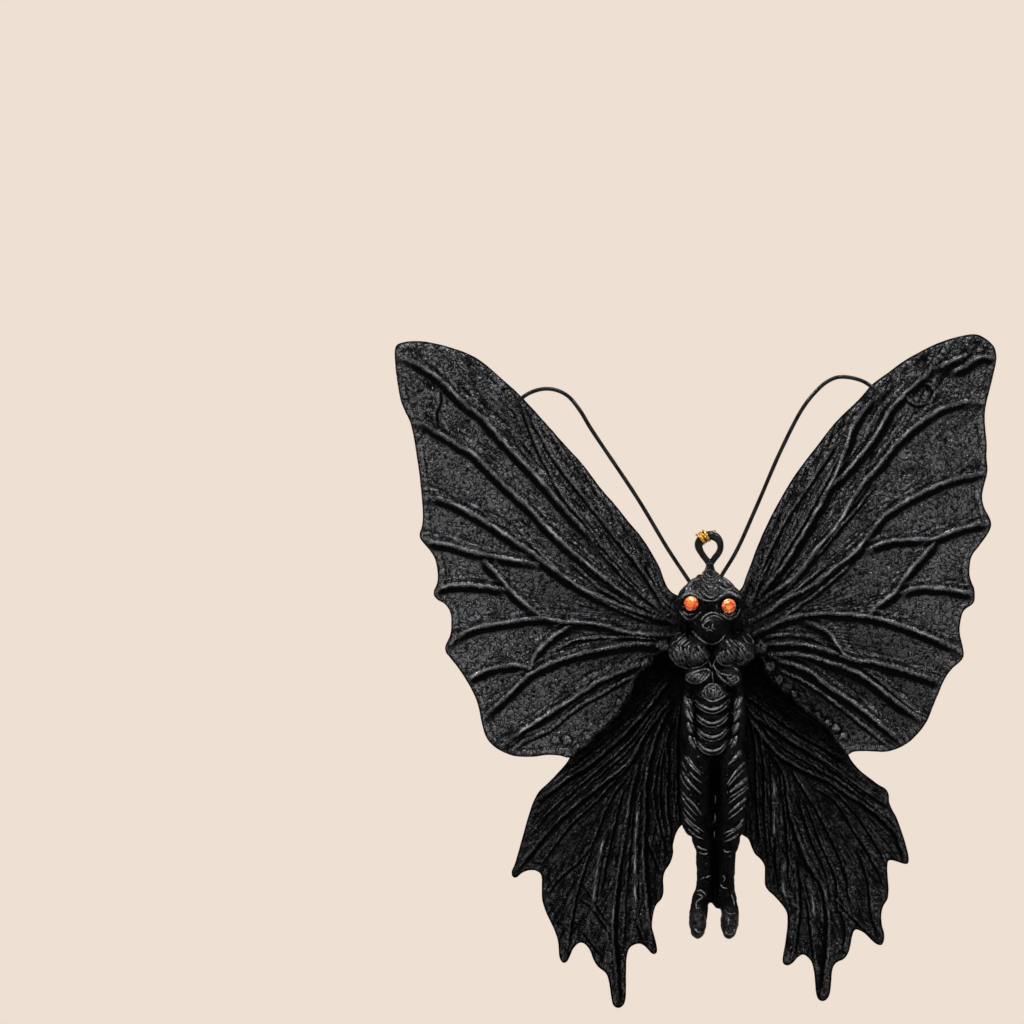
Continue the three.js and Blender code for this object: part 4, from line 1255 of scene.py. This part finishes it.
def make_lamps():
    for lamp in LAMPS:
        data = bpy.data.lights.new(lamp["name"], "AREA")
        data.shape = "DISK"
        data.size = lamp["size"]
        data.energy = lamp["power"]
        data.color = lamp["colour"]
        light = add_object(lamp["name"], data)
        light.location = lamp["place"]
        towards = LAMP_TARGET - Vector(lamp["place"])
        light.rotation_euler = towards.to_track_quat("-Z", "Y").to_euler()


def make_room():
    """A pale room, which is seen and mirrored at its full colour and gives a weaker light."""
    world = bpy.data.worlds.new("pale_room")
    bpy.context.scene.world = world
    world.use_nodes = True
    tree = world.node_tree
    tree.nodes.clear()
    path = node(tree, "ShaderNodeLightPath").outputs
    mirrored_too = calculated(tree, "MAXIMUM", path["Is Camera Ray"], path["Is Glossy Ray"])
    seen = calculated(tree, "MAXIMUM", mirrored_too, path["Is Transmission Ray"])
    lit = node(tree, "ShaderNodeBackground", {"Color": ROOM_LIGHT, "Strength": ROOM_LIGHT_STRENGTH})
    pale = node(tree, "ShaderNodeBackground", {"Color": ROOM_SEEN, "Strength": 1})
    inputs = {0: seen, 1: lit.outputs["Background"], 2: pale.outputs["Background"]}
    mixed = node(tree, "ShaderNodeMixShader", inputs)
    node(tree, "ShaderNodeOutputWorld", {"Surface": mixed.outputs["Shader"]})


# Gold thread


def on_eye(angle):
    """A place on the middle line of the eye's wire, by the angle from its top."""
    mean_radius = EYE_INNER_RADIUS + EYE_WIRE / 2
    return np.array((mean_radius * math.sin(angle), 0, mean_radius * math.cos(angle) - EYE_INNER_RADIUS))


def box_middle(name):
    low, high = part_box(name)
    return np.array((low + high) / 2) / MM


def thread_knot(material):
    """A small overhand knot, drawn tight, where both ends of the loop meet the turns, and its cut end."""
    turn = np.linspace(0, 2 * np.pi, num=90)
    bulge = KNOT_TURN_RADIUS + KNOT_TURN_SWELL * np.cos(3 * turn)
    depth = KNOT_TURN_DEPTH * np.sin(3 * turn)
    points = np.column_stack((bulge * np.cos(2 * turn), depth, bulge * np.sin(2 * turn)))
    points = points + box_middle("thread_knot")
    tied = tube(points, THREAD / 2, sides=14, plies=THREAD_PLIES)
    cut_end = tube(smooth_line(KNOT_END, step=0.1), HITCH_THREAD / 2, sides=14, plies=THREAD_PLIES)
    mesh = plain_mesh("thread_knot_tied", *together([tied, cut_end]))
    return piece("thread_knot_tied", mesh, "hanger", ["thread_knot"], material)


def thread_loop(material):
    """The hanging loop, from the knot and back to it."""
    route = smooth_line(LOOP_ROUTE, LOOP_STEP)
    mesh = plain_mesh("thread_loop_plied", *tube(route, THREAD / 2, sides=12, plies=THREAD_PLIES))
    made = piece("thread_loop_plied", mesh, "hanger", ["thread_loop"], material)


def hitch_tail(start, knot):
    """A tail leaves its turn straight back, then runs square to the knot."""
    back = start + (0, THREAD, 0)
    outward = (back - knot) / np.linalg.norm(back - knot)
    end = knot + outward * (KNOT_RADIUS - KNOT_GAP)
    return [back, end + outward * THREAD, end]


def thread_hitch(material):
    """Tight turns round the wire of the eye, with both tails drawn back to the knot."""
    outward = np.array((math.sin(HITCH_ANGLE), 0, math.cos(HITCH_ANGLE)))
    axis = np.array((math.cos(HITCH_ANGLE), 0, -math.sin(HITCH_ANGLE)))
    radius = EYE_TOP_RADIUS + HITCH_THREAD / 2 - HITCH_BITE
    middle = on_eye(HITCH_ANGLE) + outward * (EYE_TOP_RADIUS - EYE_WIRE / 2)
    points = []
    for i in range(HITCH_STEPS + 1):
        turn = math.pi + 2 * math.pi * HITCH_TURNS * i / HITCH_STEPS
        offset = HITCH_PITCH * HITCH_TURNS * (0.5 - i / HITCH_STEPS)
        wander = HITCH_WANDER * math.sin(HITCH_WANDER_RATE * turn)
        loose = radius * (1 + HITCH_LOOSENESS * math.sin(HITCH_LOOSENESS_RATE * turn))
        place = middle + axis * (offset + wander) + outward * loose * math.cos(turn)
        points.append(place + (0, loose * math.sin(turn), 0))
    knot = box_middle("thread_knot")
    route = [*hitch_tail(points[0], knot)[::-1], *points, *hitch_tail(points[-1], knot)]
    wound = tube(smooth_line(route, step=0.07), HITCH_THREAD / 2, sides=16, plies=THREAD_PLIES)
    mesh = plain_mesh("thread_hitch_plied", *wound)
    piece("thread_hitch_plied", mesh, "moth", ["thread_hitch"], material)


# Hanging eye, antennae and cut-glass eyes


def hanging_eye(material):
    """A teardrop of wire whose legs meet in a fluted neck, with a collar and a shank below."""
    leg_end_x = (NECK_DIAMETER - EYE_WIRE) / 2
    leg_top = on_eye(EYE_LEG_TURN)
    leg_end_z = leg_top[2] + (leg_top[0] - leg_end_x) * math.tan(EYE_LEG_TURN)
    arc = [on_eye(angle) for angle in np.linspace(-EYE_LEG_TURN, EYE_LEG_TURN, num=13)]
    foot = [np.array((leg_end_x, 0, leg_end_z)), np.array((leg_end_x, 0, leg_end_z - LEG_SINK))]
    mirror = np.array((-1, 1, 1))
    line = smooth_line([foot[1] * mirror, foot[0] * mirror, *arc, *foot], step=0.15)
    to_top = step_up(*EYE_THICKENS, line[:, 2] - EYE_LEAN * line[:, 0])
    thick = EYE_SIDE_RADIUS + (EYE_TOP_RADIUS - EYE_SIDE_RADIUS) * to_top
    middle = np.array((0, 0, -EYE_INNER_RADIUS))
    outward = (line - middle) / np.linalg.norm(line - middle, axis=1)[:, None]
    line = line + outward * (step_up(*EYE_SPREADS, line[:, 2]) * (thick - EYE_WIRE / 2))[:, None]
    teardrop = tube(line, thick, sides=20)

    neck, collar, shank = NECK_DIAMETER / 2, COLLAR_DIAMETER / 2, SHANK_DIAMETER / 2
    collar_bottom = leg_end_z - NECK_LENGTH
    collar_top = collar_bottom + COLLAR_RIM
    profile = [
        (0, collar_bottom - SHANK_LENGTH),
        (shank, collar_bottom - SHANK_LENGTH),
        (shank, collar_bottom),
        (collar, collar_bottom),
        (collar, collar_top),
        *[(neck * wide, collar_top + high * COLLAR_FLARE) for wide, high in COLLAR_CURVE],
        (neck, leg_end_z - LEG_SINK),
        (neck, leg_end_z),
        (0, leg_end_z + LEG_SINK / 2),
    ]
    mesh = remeshed(plain_mesh("eye_rough", *together([teardrop, turned(profile, sides=32)])), EYE_VOXEL)
    points = smoothed(vectors(mesh, "co"), edges_of(mesh), rounds=5)
    flutes = 0.5 + 0.5 * np.cos(NECK_FLUTES * np.arctan2(points[:, 1], points[:, 0]))
    above_collar = step_up(collar_bottom, collar_bottom + FLUTE_FADE_IN, points[:, 2])
    fade_from, fade_to = leg_end_z - FLUTE_FADE_OUT[0], leg_end_z + FLUTE_FADE_OUT[1]
    below_legs = step_up(-fade_to, -fade_from, -points[:, 2])
    points[:, :2] *= (1 - FLUTE_DEPTH * flutes * above_collar * below_legs)[:, None]
    points += vectors(mesh, "normal") * layered(points, EYE_GRAIN)[:, None]
    move_vertices(mesh, points)
    piece("hanging_eye_wire", mesh, "moth", ["hanging_eye"], material)


def sweep_back(x):
    """How far the wings bend back."""
    share = (np.abs(x) - WING_SWEEP_START) / (WING_SWEEP_REACH - WING_SWEEP_START)
    return WING_SWEEP * np.maximum(0, share) ** 2


def antenna(name, drawing, material):
    """A hand-bent wire, a little uneven, whose tip reaches over the front of the forewing."""
    flat = on_grid(drawing)
    tip_y = FOREWING["front"] + sweep_back(flat[-1, 0]) - ANTENNA_TIP_GAP
    depth = np.linspace(ANTENNA_ROOT_Y, tip_y, len(flat))
    points = np.column_stack((flat[:, 0], depth, flat[:, 1]))
    inward = (points[0] - points[1]) / np.linalg.norm(points[0] - points[1])
    line = smooth_line(np.vstack((points[0] + inward * ANTENNA_SOCKET, points)), step=0.25)
    uneven = 1 + layered(line, ANTENNA_UNEVEN)
    from_tip = np.clip((lengths_along(line)[-1] - lengths_along(line)) / ANTENNA_WIRE, 0, 1)
    ending = ANTENNA_TIP_THIN + (1 - ANTENNA_TIP_THIN) * np.sqrt(from_tip)
    mesh = plain_mesh(name + "_wire", *tube(line, ANTENNA_WIRE / 2 * uneven * ending, sides=16))
    piece(name + "_wire", mesh, "moth", [name], material)


def eye_gem(name, sign, material):
    """A brilliant cut: a table, a ring of kite facets, a girdle and a pointed pavilion."""
    rings = [
        (GEM_TABLE_RADIUS, GEM_GIRDLE + GEM_CROWN, GEM_SIDES, 0),
        (0.5 * (GEM_TABLE_RADIUS + GEM_RADIUS), GEM_GIRDLE + GEM_KITE_HEIGHT, GEM_SIDES, 0.5),
        (GEM_RADIUS, GEM_GIRDLE, GEM_SIDES * 2, 0),
        (GEM_RADIUS, 0, GEM_SIDES * 2, 0),
        (GEM_WAIST_RADIUS, -0.5 * GEM_PAVILION, GEM_SIDES, 0.5),
        (GEM_CULET_RADIUS, -GEM_PAVILION, GEM_SIDES, 0),
    ]
    turn = Matrix.Rotation(sign * GEM_TURN, 3, "Z") @ Matrix.Rotation(math.pi / 2, 3, "X")
    place = Vector((sign * GEM_PLACE[0], GEM_PLACE[1], GEM_PLACE[2] + GEM_RISE[sign]))
    shape = bmesh.new()
    for radius, height, count, shift in rings:
        for i in range(count):
            angle = 2 * math.pi * (i + shift) / count
            corner = Vector((radius * math.cos(angle), radius * math.sin(angle), height))
            shape.verts.new(turn @ corner + place)
    bmesh.ops.convex_hull(shape, input=shape.verts)
    bmesh.ops.recalc_face_normals(shape, faces=shape.faces)
    mesh = bpy.data.meshes.new(name + "_cut")
    shape.to_mesh(mesh)
    shape.free()
    tones = []
    # Painted reflections: each facet's tone follows its direction and place, with a painted glint facing one
    # way
    for facet in mesh.polygons:
        painted_glint = max(0, facet.normal.dot(GEM_PAINTED_GLINT)) ** GEM_PAINTED_GLINT_SHARPNESS
        spot = GEM_TONE_TURN * facet.normal + GEM_TONE_SHIFT * (facet.center - place) + Vector((sign, 0, 0))
        tones.append(GEM_TONE + GEM_TONE_SPREAD * noise.noise(spot) + GEM_PAINTED_GLINT_TONE * painted_glint)
    keep_values(mesh, "tone", tones, "FACE")
    piece(name + "_cut", mesh, "moth", [name], material, smooth=False)


# Wings


def as_drawn(points):
    """The drawings are as the camera sees them, so what lies farther back is drawn out a little."""
    grown = 1 + points[:, 1] / CAMERA_DISTANCE
    points = points.copy()
    points[:, 0] *= grown
    points[:, 2] = CAMERA_HEIGHT + (points[:, 2] - CAMERA_HEIGHT) * grown
    return points


def nearest_on(flat, line):
    """For each flat point, the index of the nearest point of a line and the distance to it."""
    index = np.empty(len(flat), int)
    distance = np.empty(len(flat))
    batch = 4000
    for start in range(0, len(flat), batch):
        part = slice(start, start + batch)
        squares = ((flat[part, None] - line[None]) ** 2).sum(axis=2)
        index[part] = squares.argmin(axis=1)
        distance[part] = np.sqrt(squares.min(axis=1))
    return index, distance


def beside(flat, drawing, reach):
    """The flat points within reach of a drawn line, how far above it each lies, and its share along it."""
    line = smooth_line(on_grid(drawing), step=0.3)
    low, high = line.min(axis=0) - reach, line.max(axis=0) + reach
    near = np.flatnonzero(((flat > low) & (flat < high)).all(axis=1))
    index, distance = nearest_on(flat[near], line)
    along = np.gradient(line, axis=0)
    up = np.column_stack((-along[:, 1], along[:, 0])) / np.linalg.norm(along, axis=1)[:, None]
    up *= 1 if up[:, 1].mean() > 0 else -1
    above = np.sign(((flat[near] - line[index]) * up[index]).sum(axis=1)) * distance
    return near, above, index / (len(line) - 1)


def raise_lines(wing, flat):
    """The raised lines over the flat face: their height, how far each point is on a line (towards 1, where
    the paint takes its painted crest highlight) or in the painted shadow below one (towards -1), and how
    rough the face is."""
    most = {form: np.zeros(len(flat)) for form in ("bar", "rise", "trough", "on_bar", "painted_shadow", "rough")}
    wander = layered(flat, LINE_WANDER)
    swell = 1 + layered(flat, LINE_SWELL)
    for kind, (height, half, gap) in wing["forms"].items():
        for drawing in wing[kind]:
            near, above, share = beside(flat, drawing, LINE_REACH)
            above = above + wander[near]
            upper = above > 0
            strength = np.interp(share, *LINE_TAPER) * swell[near]
            hump = np.cos(np.clip(np.abs(above) / half, 0, 1) * math.pi / 2) ** 2
            hump = hump + SECOND_RIDGE * bell(above, 2 * half + SECOND_RIDGE_GAP, 0.5 * half)
            rise = np.where(upper, np.exp(-np.abs(above) / FACE_RISE_REACH), 0)
            foot = -above - TROUGH_START * half
            dip = step_up(0, TROUGH_EDGE, foot)
            trough = dip * np.exp(-np.maximum(foot, 0) / (TROUGH_REACH * gap))
            painted_shadow = dip * (1 - step_up(PAINTED_SHADOW_REACH[0] * gap, PAINTED_SHADOW_REACH[1] * gap, foot))
            forms = {
                "bar": strength * height * hump,
                "rise": FACE_RISE * strength * height * rise,
                "trough": TROUGH_DEPTH * strength * height * trough,
                "on_bar": strength * hump,
                "painted_shadow": strength * painted_shadow,
                "rough": np.where(upper, bell(above, half + COARSE_GAP, COARSE_WIDTH), 0),
            }
            for form, values in forms.items():
                most[form][near] = np.maximum(most[form][near], values)
    on_bar = np.clip(most["on_bar"], 0, 1)
    off_bar = 1 - on_bar
    relief = most["rise"] + most["bar"] - most["trough"] * off_bar
    return relief, on_bar - np.clip(most["painted_shadow"], 0, 1) * off_bar, most["rough"]


def wing_relief(wing, flat):
    """Height of the modelled surface over the flat face, and the lines and roughness to paint by."""
    relief, lines, rough = raise_lines(wing, flat)
    free = 1 - np.abs(lines)
    away = flat - on_grid(wing["root"])
    radius = np.linalg.norm(away, axis=1)
    angle = np.arctan2(away[:, 1], away[:, 0])

    pleated = 1.0
    if not wing["pleated"]:
        pleated = np.maximum(step_up(*PLEATS_UPWARD, np.sin(angle)), 1 - step_up(*PLEATS_AT_ROOT, radius))
    rays = np.column_stack((angle * PLEATS_PER_RADIAN, radius / PLEAT_LENGTH))
    pleats = 1 - 2 * np.abs(grain(rays, *PLEAT_NOISE))
    rough = np.clip(rough + pleated + layered(flat, ROUGH_PATCHES), *ROUGH_RANGE)
    relief += PLEAT_HEIGHT * pleats * pleated * free * step_up(*PLEAT_START, radius)
    relief += free * rough * CRUST_HEIGHT * (1 - np.abs(layered(flat, CRUST_CREVICES)))
    relief += free * layered(flat, FACE_GRAIN) + layered(flat, FACE_WAVES)

    # Painted shade: the face between the lines is darker near the root and in the listed shades
    root_shade_depth, near, far = wing["root_shade"]
    lines = lines - root_shade_depth * free * (1 - step_up(near, far, radius))
    for x, y, half_width, half_height, shade_depth in wing.get("shades", []):
        lines = lines - shade_depth * free * within(flat, x, y, half_width, half_height)
    for drawing in wing.get("slits", []):
        near, above, _ = beside(flat, drawing, reach=2)
        cut = bell(above, 0, SLIT_HALF_WIDTH)
        relief[near] -= SLIT_DEPTH * cut
        # Painted shade down the slit
        lines[near] = np.minimum(lines[near], 1 - 2 * cut)
    darkness, ring, ring_width = CRUMB_SHADOW_RING
    for x, y, size in wing.get("crumbs", []):
        reach = size * GRID_PITCH * (1 + CRUMB_UNEVENNESS * grain(flat, CRUMB_LUMP, seed=x))
        away = np.linalg.norm(flat - on_grid((x, y)), axis=1) / reach
        relief = np.maximum(relief, CRUMB_HEIGHT * reach * np.sqrt(np.clip(1 - away**2, 0, 1)))
        # Painted shadow ring round each crumb, and a painted highlight on its top
        lines = np.maximum(lines - darkness * bell(away, ring, ring_width), -1)
        lines = np.where(away < CRUMB_TOP, np.maximum(lines, CRUMB_TOP_HIGHLIGHT), lines)
    return relief, lines, rough


def slab(outline, front, back):
    """Vertices and faces of a flat plate with this outline."""
    count = len(outline)
    rims = [np.column_stack((outline[:, 0], np.full(count, depth), outline[:, 1])) for depth in (front, back)]
    faces = [tuple(range(count)), tuple(range(2 * count - 1, count - 1, -1))]
    for i in range(count):
        following = (i + 1) % count
        faces.append((following, i, i + count, following + count))
    return np.vstack(rims), faces


def wing_piece(name, wing, material):
    """A plate with the wing's outline and a round rim, modelled on both faces and bent back."""
    front, back = wing["front"], wing["front"] + wing["thickness"]
    outline = smooth_line(on_grid(wing["outline"]), step=0.35)
    mesh = remeshed(plain_mesh(name + "_flat", *slab(outline, front, back)), wing["voxel"])
    points = smoothed(vectors(mesh, "co"), edges_of(mesh), rounds=4)
    move_vertices(mesh, points)
    normals = vectors(mesh, "normal")
    flat = points[:, [0, 2]]
    _, inside = nearest_on(flat, outline)
    relief, lines, rough = wing_relief(wing, flat)
    fade = step_up(0.0, EDGE_FADE, inside)
    hem = sum(height * bell(inside, middle, width) for height, middle, width in HEM)
    hem = hem * (1 - np.abs(lines)) * (HEM_MEAN + grain(flat, *HEM_NOISE))
    outer = np.clip(1 - inside / RIM_RADIUS, 0, 1)
    rounding = RIM_SHARE * RIM_RADIUS * (1 - np.sqrt(1 - outer**2))
    on_front, on_back = (step_up(*FACING, side * normals[:, 1]) for side in (-1, 1))
    back_relief = BACK_RELIEF * np.maximum(relief, BACK_DEEPEST)
    points[:, 1] -= on_front * (relief * fade + hem - rounding)
    points[:, 1] += on_back * (back_relief * fade + BACK_HEM * hem - rounding)
    points += normals * (layered(points, EDGE_GRAIN) * (1 - fade))[:, None]
    points[:, 1] = np.clip(points[:, 1], front - FRONT_LIMIT, back + BACK_LIMIT)
    points[:, 1] += sweep_back(points[:, 0])
    move_vertices(mesh, as_drawn(points))
    mark_crests(mesh, wing["voxel"])
    keep_values(mesh, "lines", lines * fade)
    keep_values(mesh, "rough", rough)
    piece(name + "_casting", mesh, "moth", [name], material)


# Body


def mirrored(drawing):
    """The same grid points on the other side of the figure."""
    return [(2 * BODY_MIDDLE - x, y) for x, y in drawing]


def belly_lines():
    """Flank lumps and the double arcs of the belly, as (width, grid points)."""
    lines = []
    for row in range(BELLY_ROWS):
        x, y = FLANK_TOP[0] + FLANK_STEP[0] * row, FLANK_TOP[1] + FLANK_STEP[1] * row
        flank = []
        for width, offsets in FLANK_STRANDS:
            flank.append((width, [(x + right, y + down) for right, down in offsets]))
        lines += flank
        lines += [(width, mirrored(drawing)) for width, drawing in flank]
    for row in range(BELLY_ROWS):
        half = ARC_HALF_WIDTH - row
        for width, drop in ARC_STRANDS:
            y = ARC_TOP + ARC_STEP * row + drop
            sag = [(ARC_MIDDLE + right, y + down) for right, down in ARC_SAG]
            lines.append((width, [(ARC_MIDDLE - half, y), *sag, (ARC_MIDDLE + half, y + ARC_TILT)]))
    return lines


def back_lines():
    """Fur down the back, in rows that run outward and down on both sides."""
    lines = []
    for top in BACK_ROWS:
        drawing = [(x, top + down) for x, down in BACK_STRAND]
        lines += [(BACK_WIDTH, drawing), (BACK_WIDTH, mirrored(drawing))]
    return lines


def strand(surface, drawing, width, side):
    """A tapered strand that lies on the body's surface, seen from the front (side -1) or the back (1), with
    how far each of its points is on its crest, as a painted highlight there and painted shade on its flanks."""
    line = []
    for x, z in smooth_line(on_grid(drawing), STRAND_STEP):
        hit = surface.ray_cast(Vector((x, side * OUTSIDE_DEPTH, z)), Vector((0, -side, 0)))[0]
        if hit is not None:
            line.append(tuple(hit))
    if len(line) < 3:
        return None
    line = np.array(line)
    share = lengths_along(line) / lengths_along(line)[-1]
    radius = width / 2 * np.interp(share, *STRAND_TAPER)
    line[:, 1] += side * STRAND_PROUD * radius
    vertices, faces = tube(line, radius, STRAND_SIDES)
    out = side * (vertices[:-2, 1] - np.repeat(line[:, 1], STRAND_SIDES)) / np.repeat(radius, STRAND_SIDES)
    crest = np.append(STRAND_CREST_HIGHLIGHT * out - STRAND_FLANK_SHADE, (0, 0))
    return vertices, faces, np.clip(crest, -1, 1)


def ball(centre, half):
    """Vertices and faces of an ellipsoid."""
    tilt = np.linspace(-math.pi / 2, math.pi / 2, num=13)
    vertices, faces = turned([(math.cos(a), math.sin(a)) for a in tilt], sides=24)
    return vertices * half + centre, faces


def leg(drawing):
    """A shin and foot as one round limb."""
    x, y, radius = np.transpose(drawing)
    flat = on_grid(np.column_stack((x, y)))
    limb = np.column_stack((flat[:, 0], np.full(len(flat), LEG_DEPTH), flat[:, 1], radius))
    line = smooth_line(limb, step=0.4)
    return tube(line[:, :3], line[:, 3], sides=20)


def row_height(row):
    """The height of a grid row in millimetres."""
    return on_grid((0, row))[1]


def carved(points, normals):
    """Narrows the head towards its crown, slims the feet and leans them forward, and presses in the hollows
    at the front. Says as well how far each point is in a hollow."""
    points = points.copy()
    middle = on_grid((CROWN_MIDDLE, 0))[0]
    up = step_up(row_height(CROWN_FOOT), row_height(CROWN_TOP), points[:, 2])
    narrow = np.where(points[:, 0] < middle, CROWN_LEFT, CROWN_RIGHT)
    points[:, 0] = middle + (points[:, 0] - middle) * (1 - up * (1 - narrow))
    ankle = row_height(ANKLE_TOP)
    down = 1 - step_up(row_height(ANKLE_FOOT), ankle, points[:, 2])
    slim = 1 - down * (1 - FOOT_SLIM)
    lean = FOOT_LEAN * np.maximum(ankle - points[:, 2], 0)
    points[:, 1] = LEG_DEPTH + (points[:, 1] - LEG_DEPTH) * slim - lean
    on_front = step_up(*FRONT_FACING, -normals[:, 1])
    shade_in_hollows = np.zeros(len(points))
    for x, y, half_width, half_height, depth in HOLLOWS:
        share = on_front * within(points[:, [0, 2]], x, y, half_width, half_height)
        points[:, 1] += depth * share
        shade_in_hollows = np.maximum(shade_in_hollows, share)
    return points, shade_in_hollows


def body_piece(material):
    """The body's CAD solid with lumps and legs added, carved, and covered with strands that lie on it."""
    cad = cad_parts["body_casting"].data
    solids = [(vectors(cad, "co") / MM, faces_of(cad))]
    for x, y, depth, half in LUMPS:
        flat = on_grid((x, y))
        solids.append(ball((flat[0], depth, flat[1]), half))
    solids += [leg(drawing) for drawing in LEGS]
    mesh = remeshed(plain_mesh("body_rough", *together(solids)), BODY_VOXEL)
    edges = edges_of(mesh)
    points, shade_in_hollows = carved(smoothed(vectors(mesh, "co"), edges, rounds=2), vectors(mesh, "normal"))
    move_vertices(mesh, smoothed(points, edges, rounds=2))
    points = vectors(mesh, "co")
    points = points + vectors(mesh, "normal") * layered(points, BODY_GRAIN)[:, None]
    move_vertices(mesh, points)
    mark_crests(mesh, BODY_VOXEL)

    faces = faces_of(mesh)
    surface = BVHTree.FromPolygons([tuple(point) for point in points], faces)
    front = [*HEAD_LINES, *RUFF_LINES, *BREAST_LINES, *THIGH_LINES, *SHIN_LINES, *belly_lines()]
    strands = [strand(surface, drawing, width, -1) for width, drawing in front]
    strands += [strand(surface, drawing, width, 1) for width, drawing in back_lines()]
    strands = [made for made in strands if made is not None]
    whole = plain_mesh("body_sculpt", *together([(points, faces), *[made[:2] for made in strands]]))

    crest = np.full(len(whole.vertices), STRAND_CREST, np.float32)
    mesh.attributes["crest"].data.foreach_get("value", crest[: len(points)])
    # Painted shade over the whole body, lifted in the lit patches
    shade = np.full(len(points), BODY_PAINTED_SHADE)
    for x, y, half_width, half_height, lighter in LIT_PATCHES:
        shade += lighter * within(points[:, [0, 2]], x, y, half_width, half_height)
    # Painted shade in the pressed hollows
    shade = np.minimum(shade, -shade_in_hollows)
    keep_values(whole, "crest", crest)
    keep_values(whole, "lines", np.concatenate((shade, *[made[2] for made in strands])))
    keep_values(whole, "rough", np.full(len(crest), BODY_ROUGH))
    piece("body_sculpt", whole, "moth", ["body_casting"], material)


# The whole object


def main():
    make_camera()
    gold, wire, glass = thread_material(), wire_material(), gem_material()
    knot = thread_knot(gold)
    thread_loop(gold)
    thread_hitch(gold)
    hanging_eye(wire)
    for name, drawing in ANTENNAE.items():
        antenna(name, drawing, wire)
    eye_gem("left_eye_gem", -1, glass)
    eye_gem("right_eye_gem", 1, glass)
    for name, wing in WINGS.items():
        x, z = on_grid(wing["root"])
        wing_piece(name, wing, resin_material(name + "_resin", wing["painted_light_level"], (x, 0, z)))
    body_piece(resin_material("body_resin", BODY_PAINTED_LIGHT_LEVEL))
    steel = steel_material()
    for name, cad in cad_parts.items():
        if name.endswith("_pin"):
            cad.data.materials.clear()
            cad.data.materials.append(steel)
    make_floor()
    make_lamps()
    make_room()
    bpy.context.scene.view_settings.view_transform = "Standard"


main()
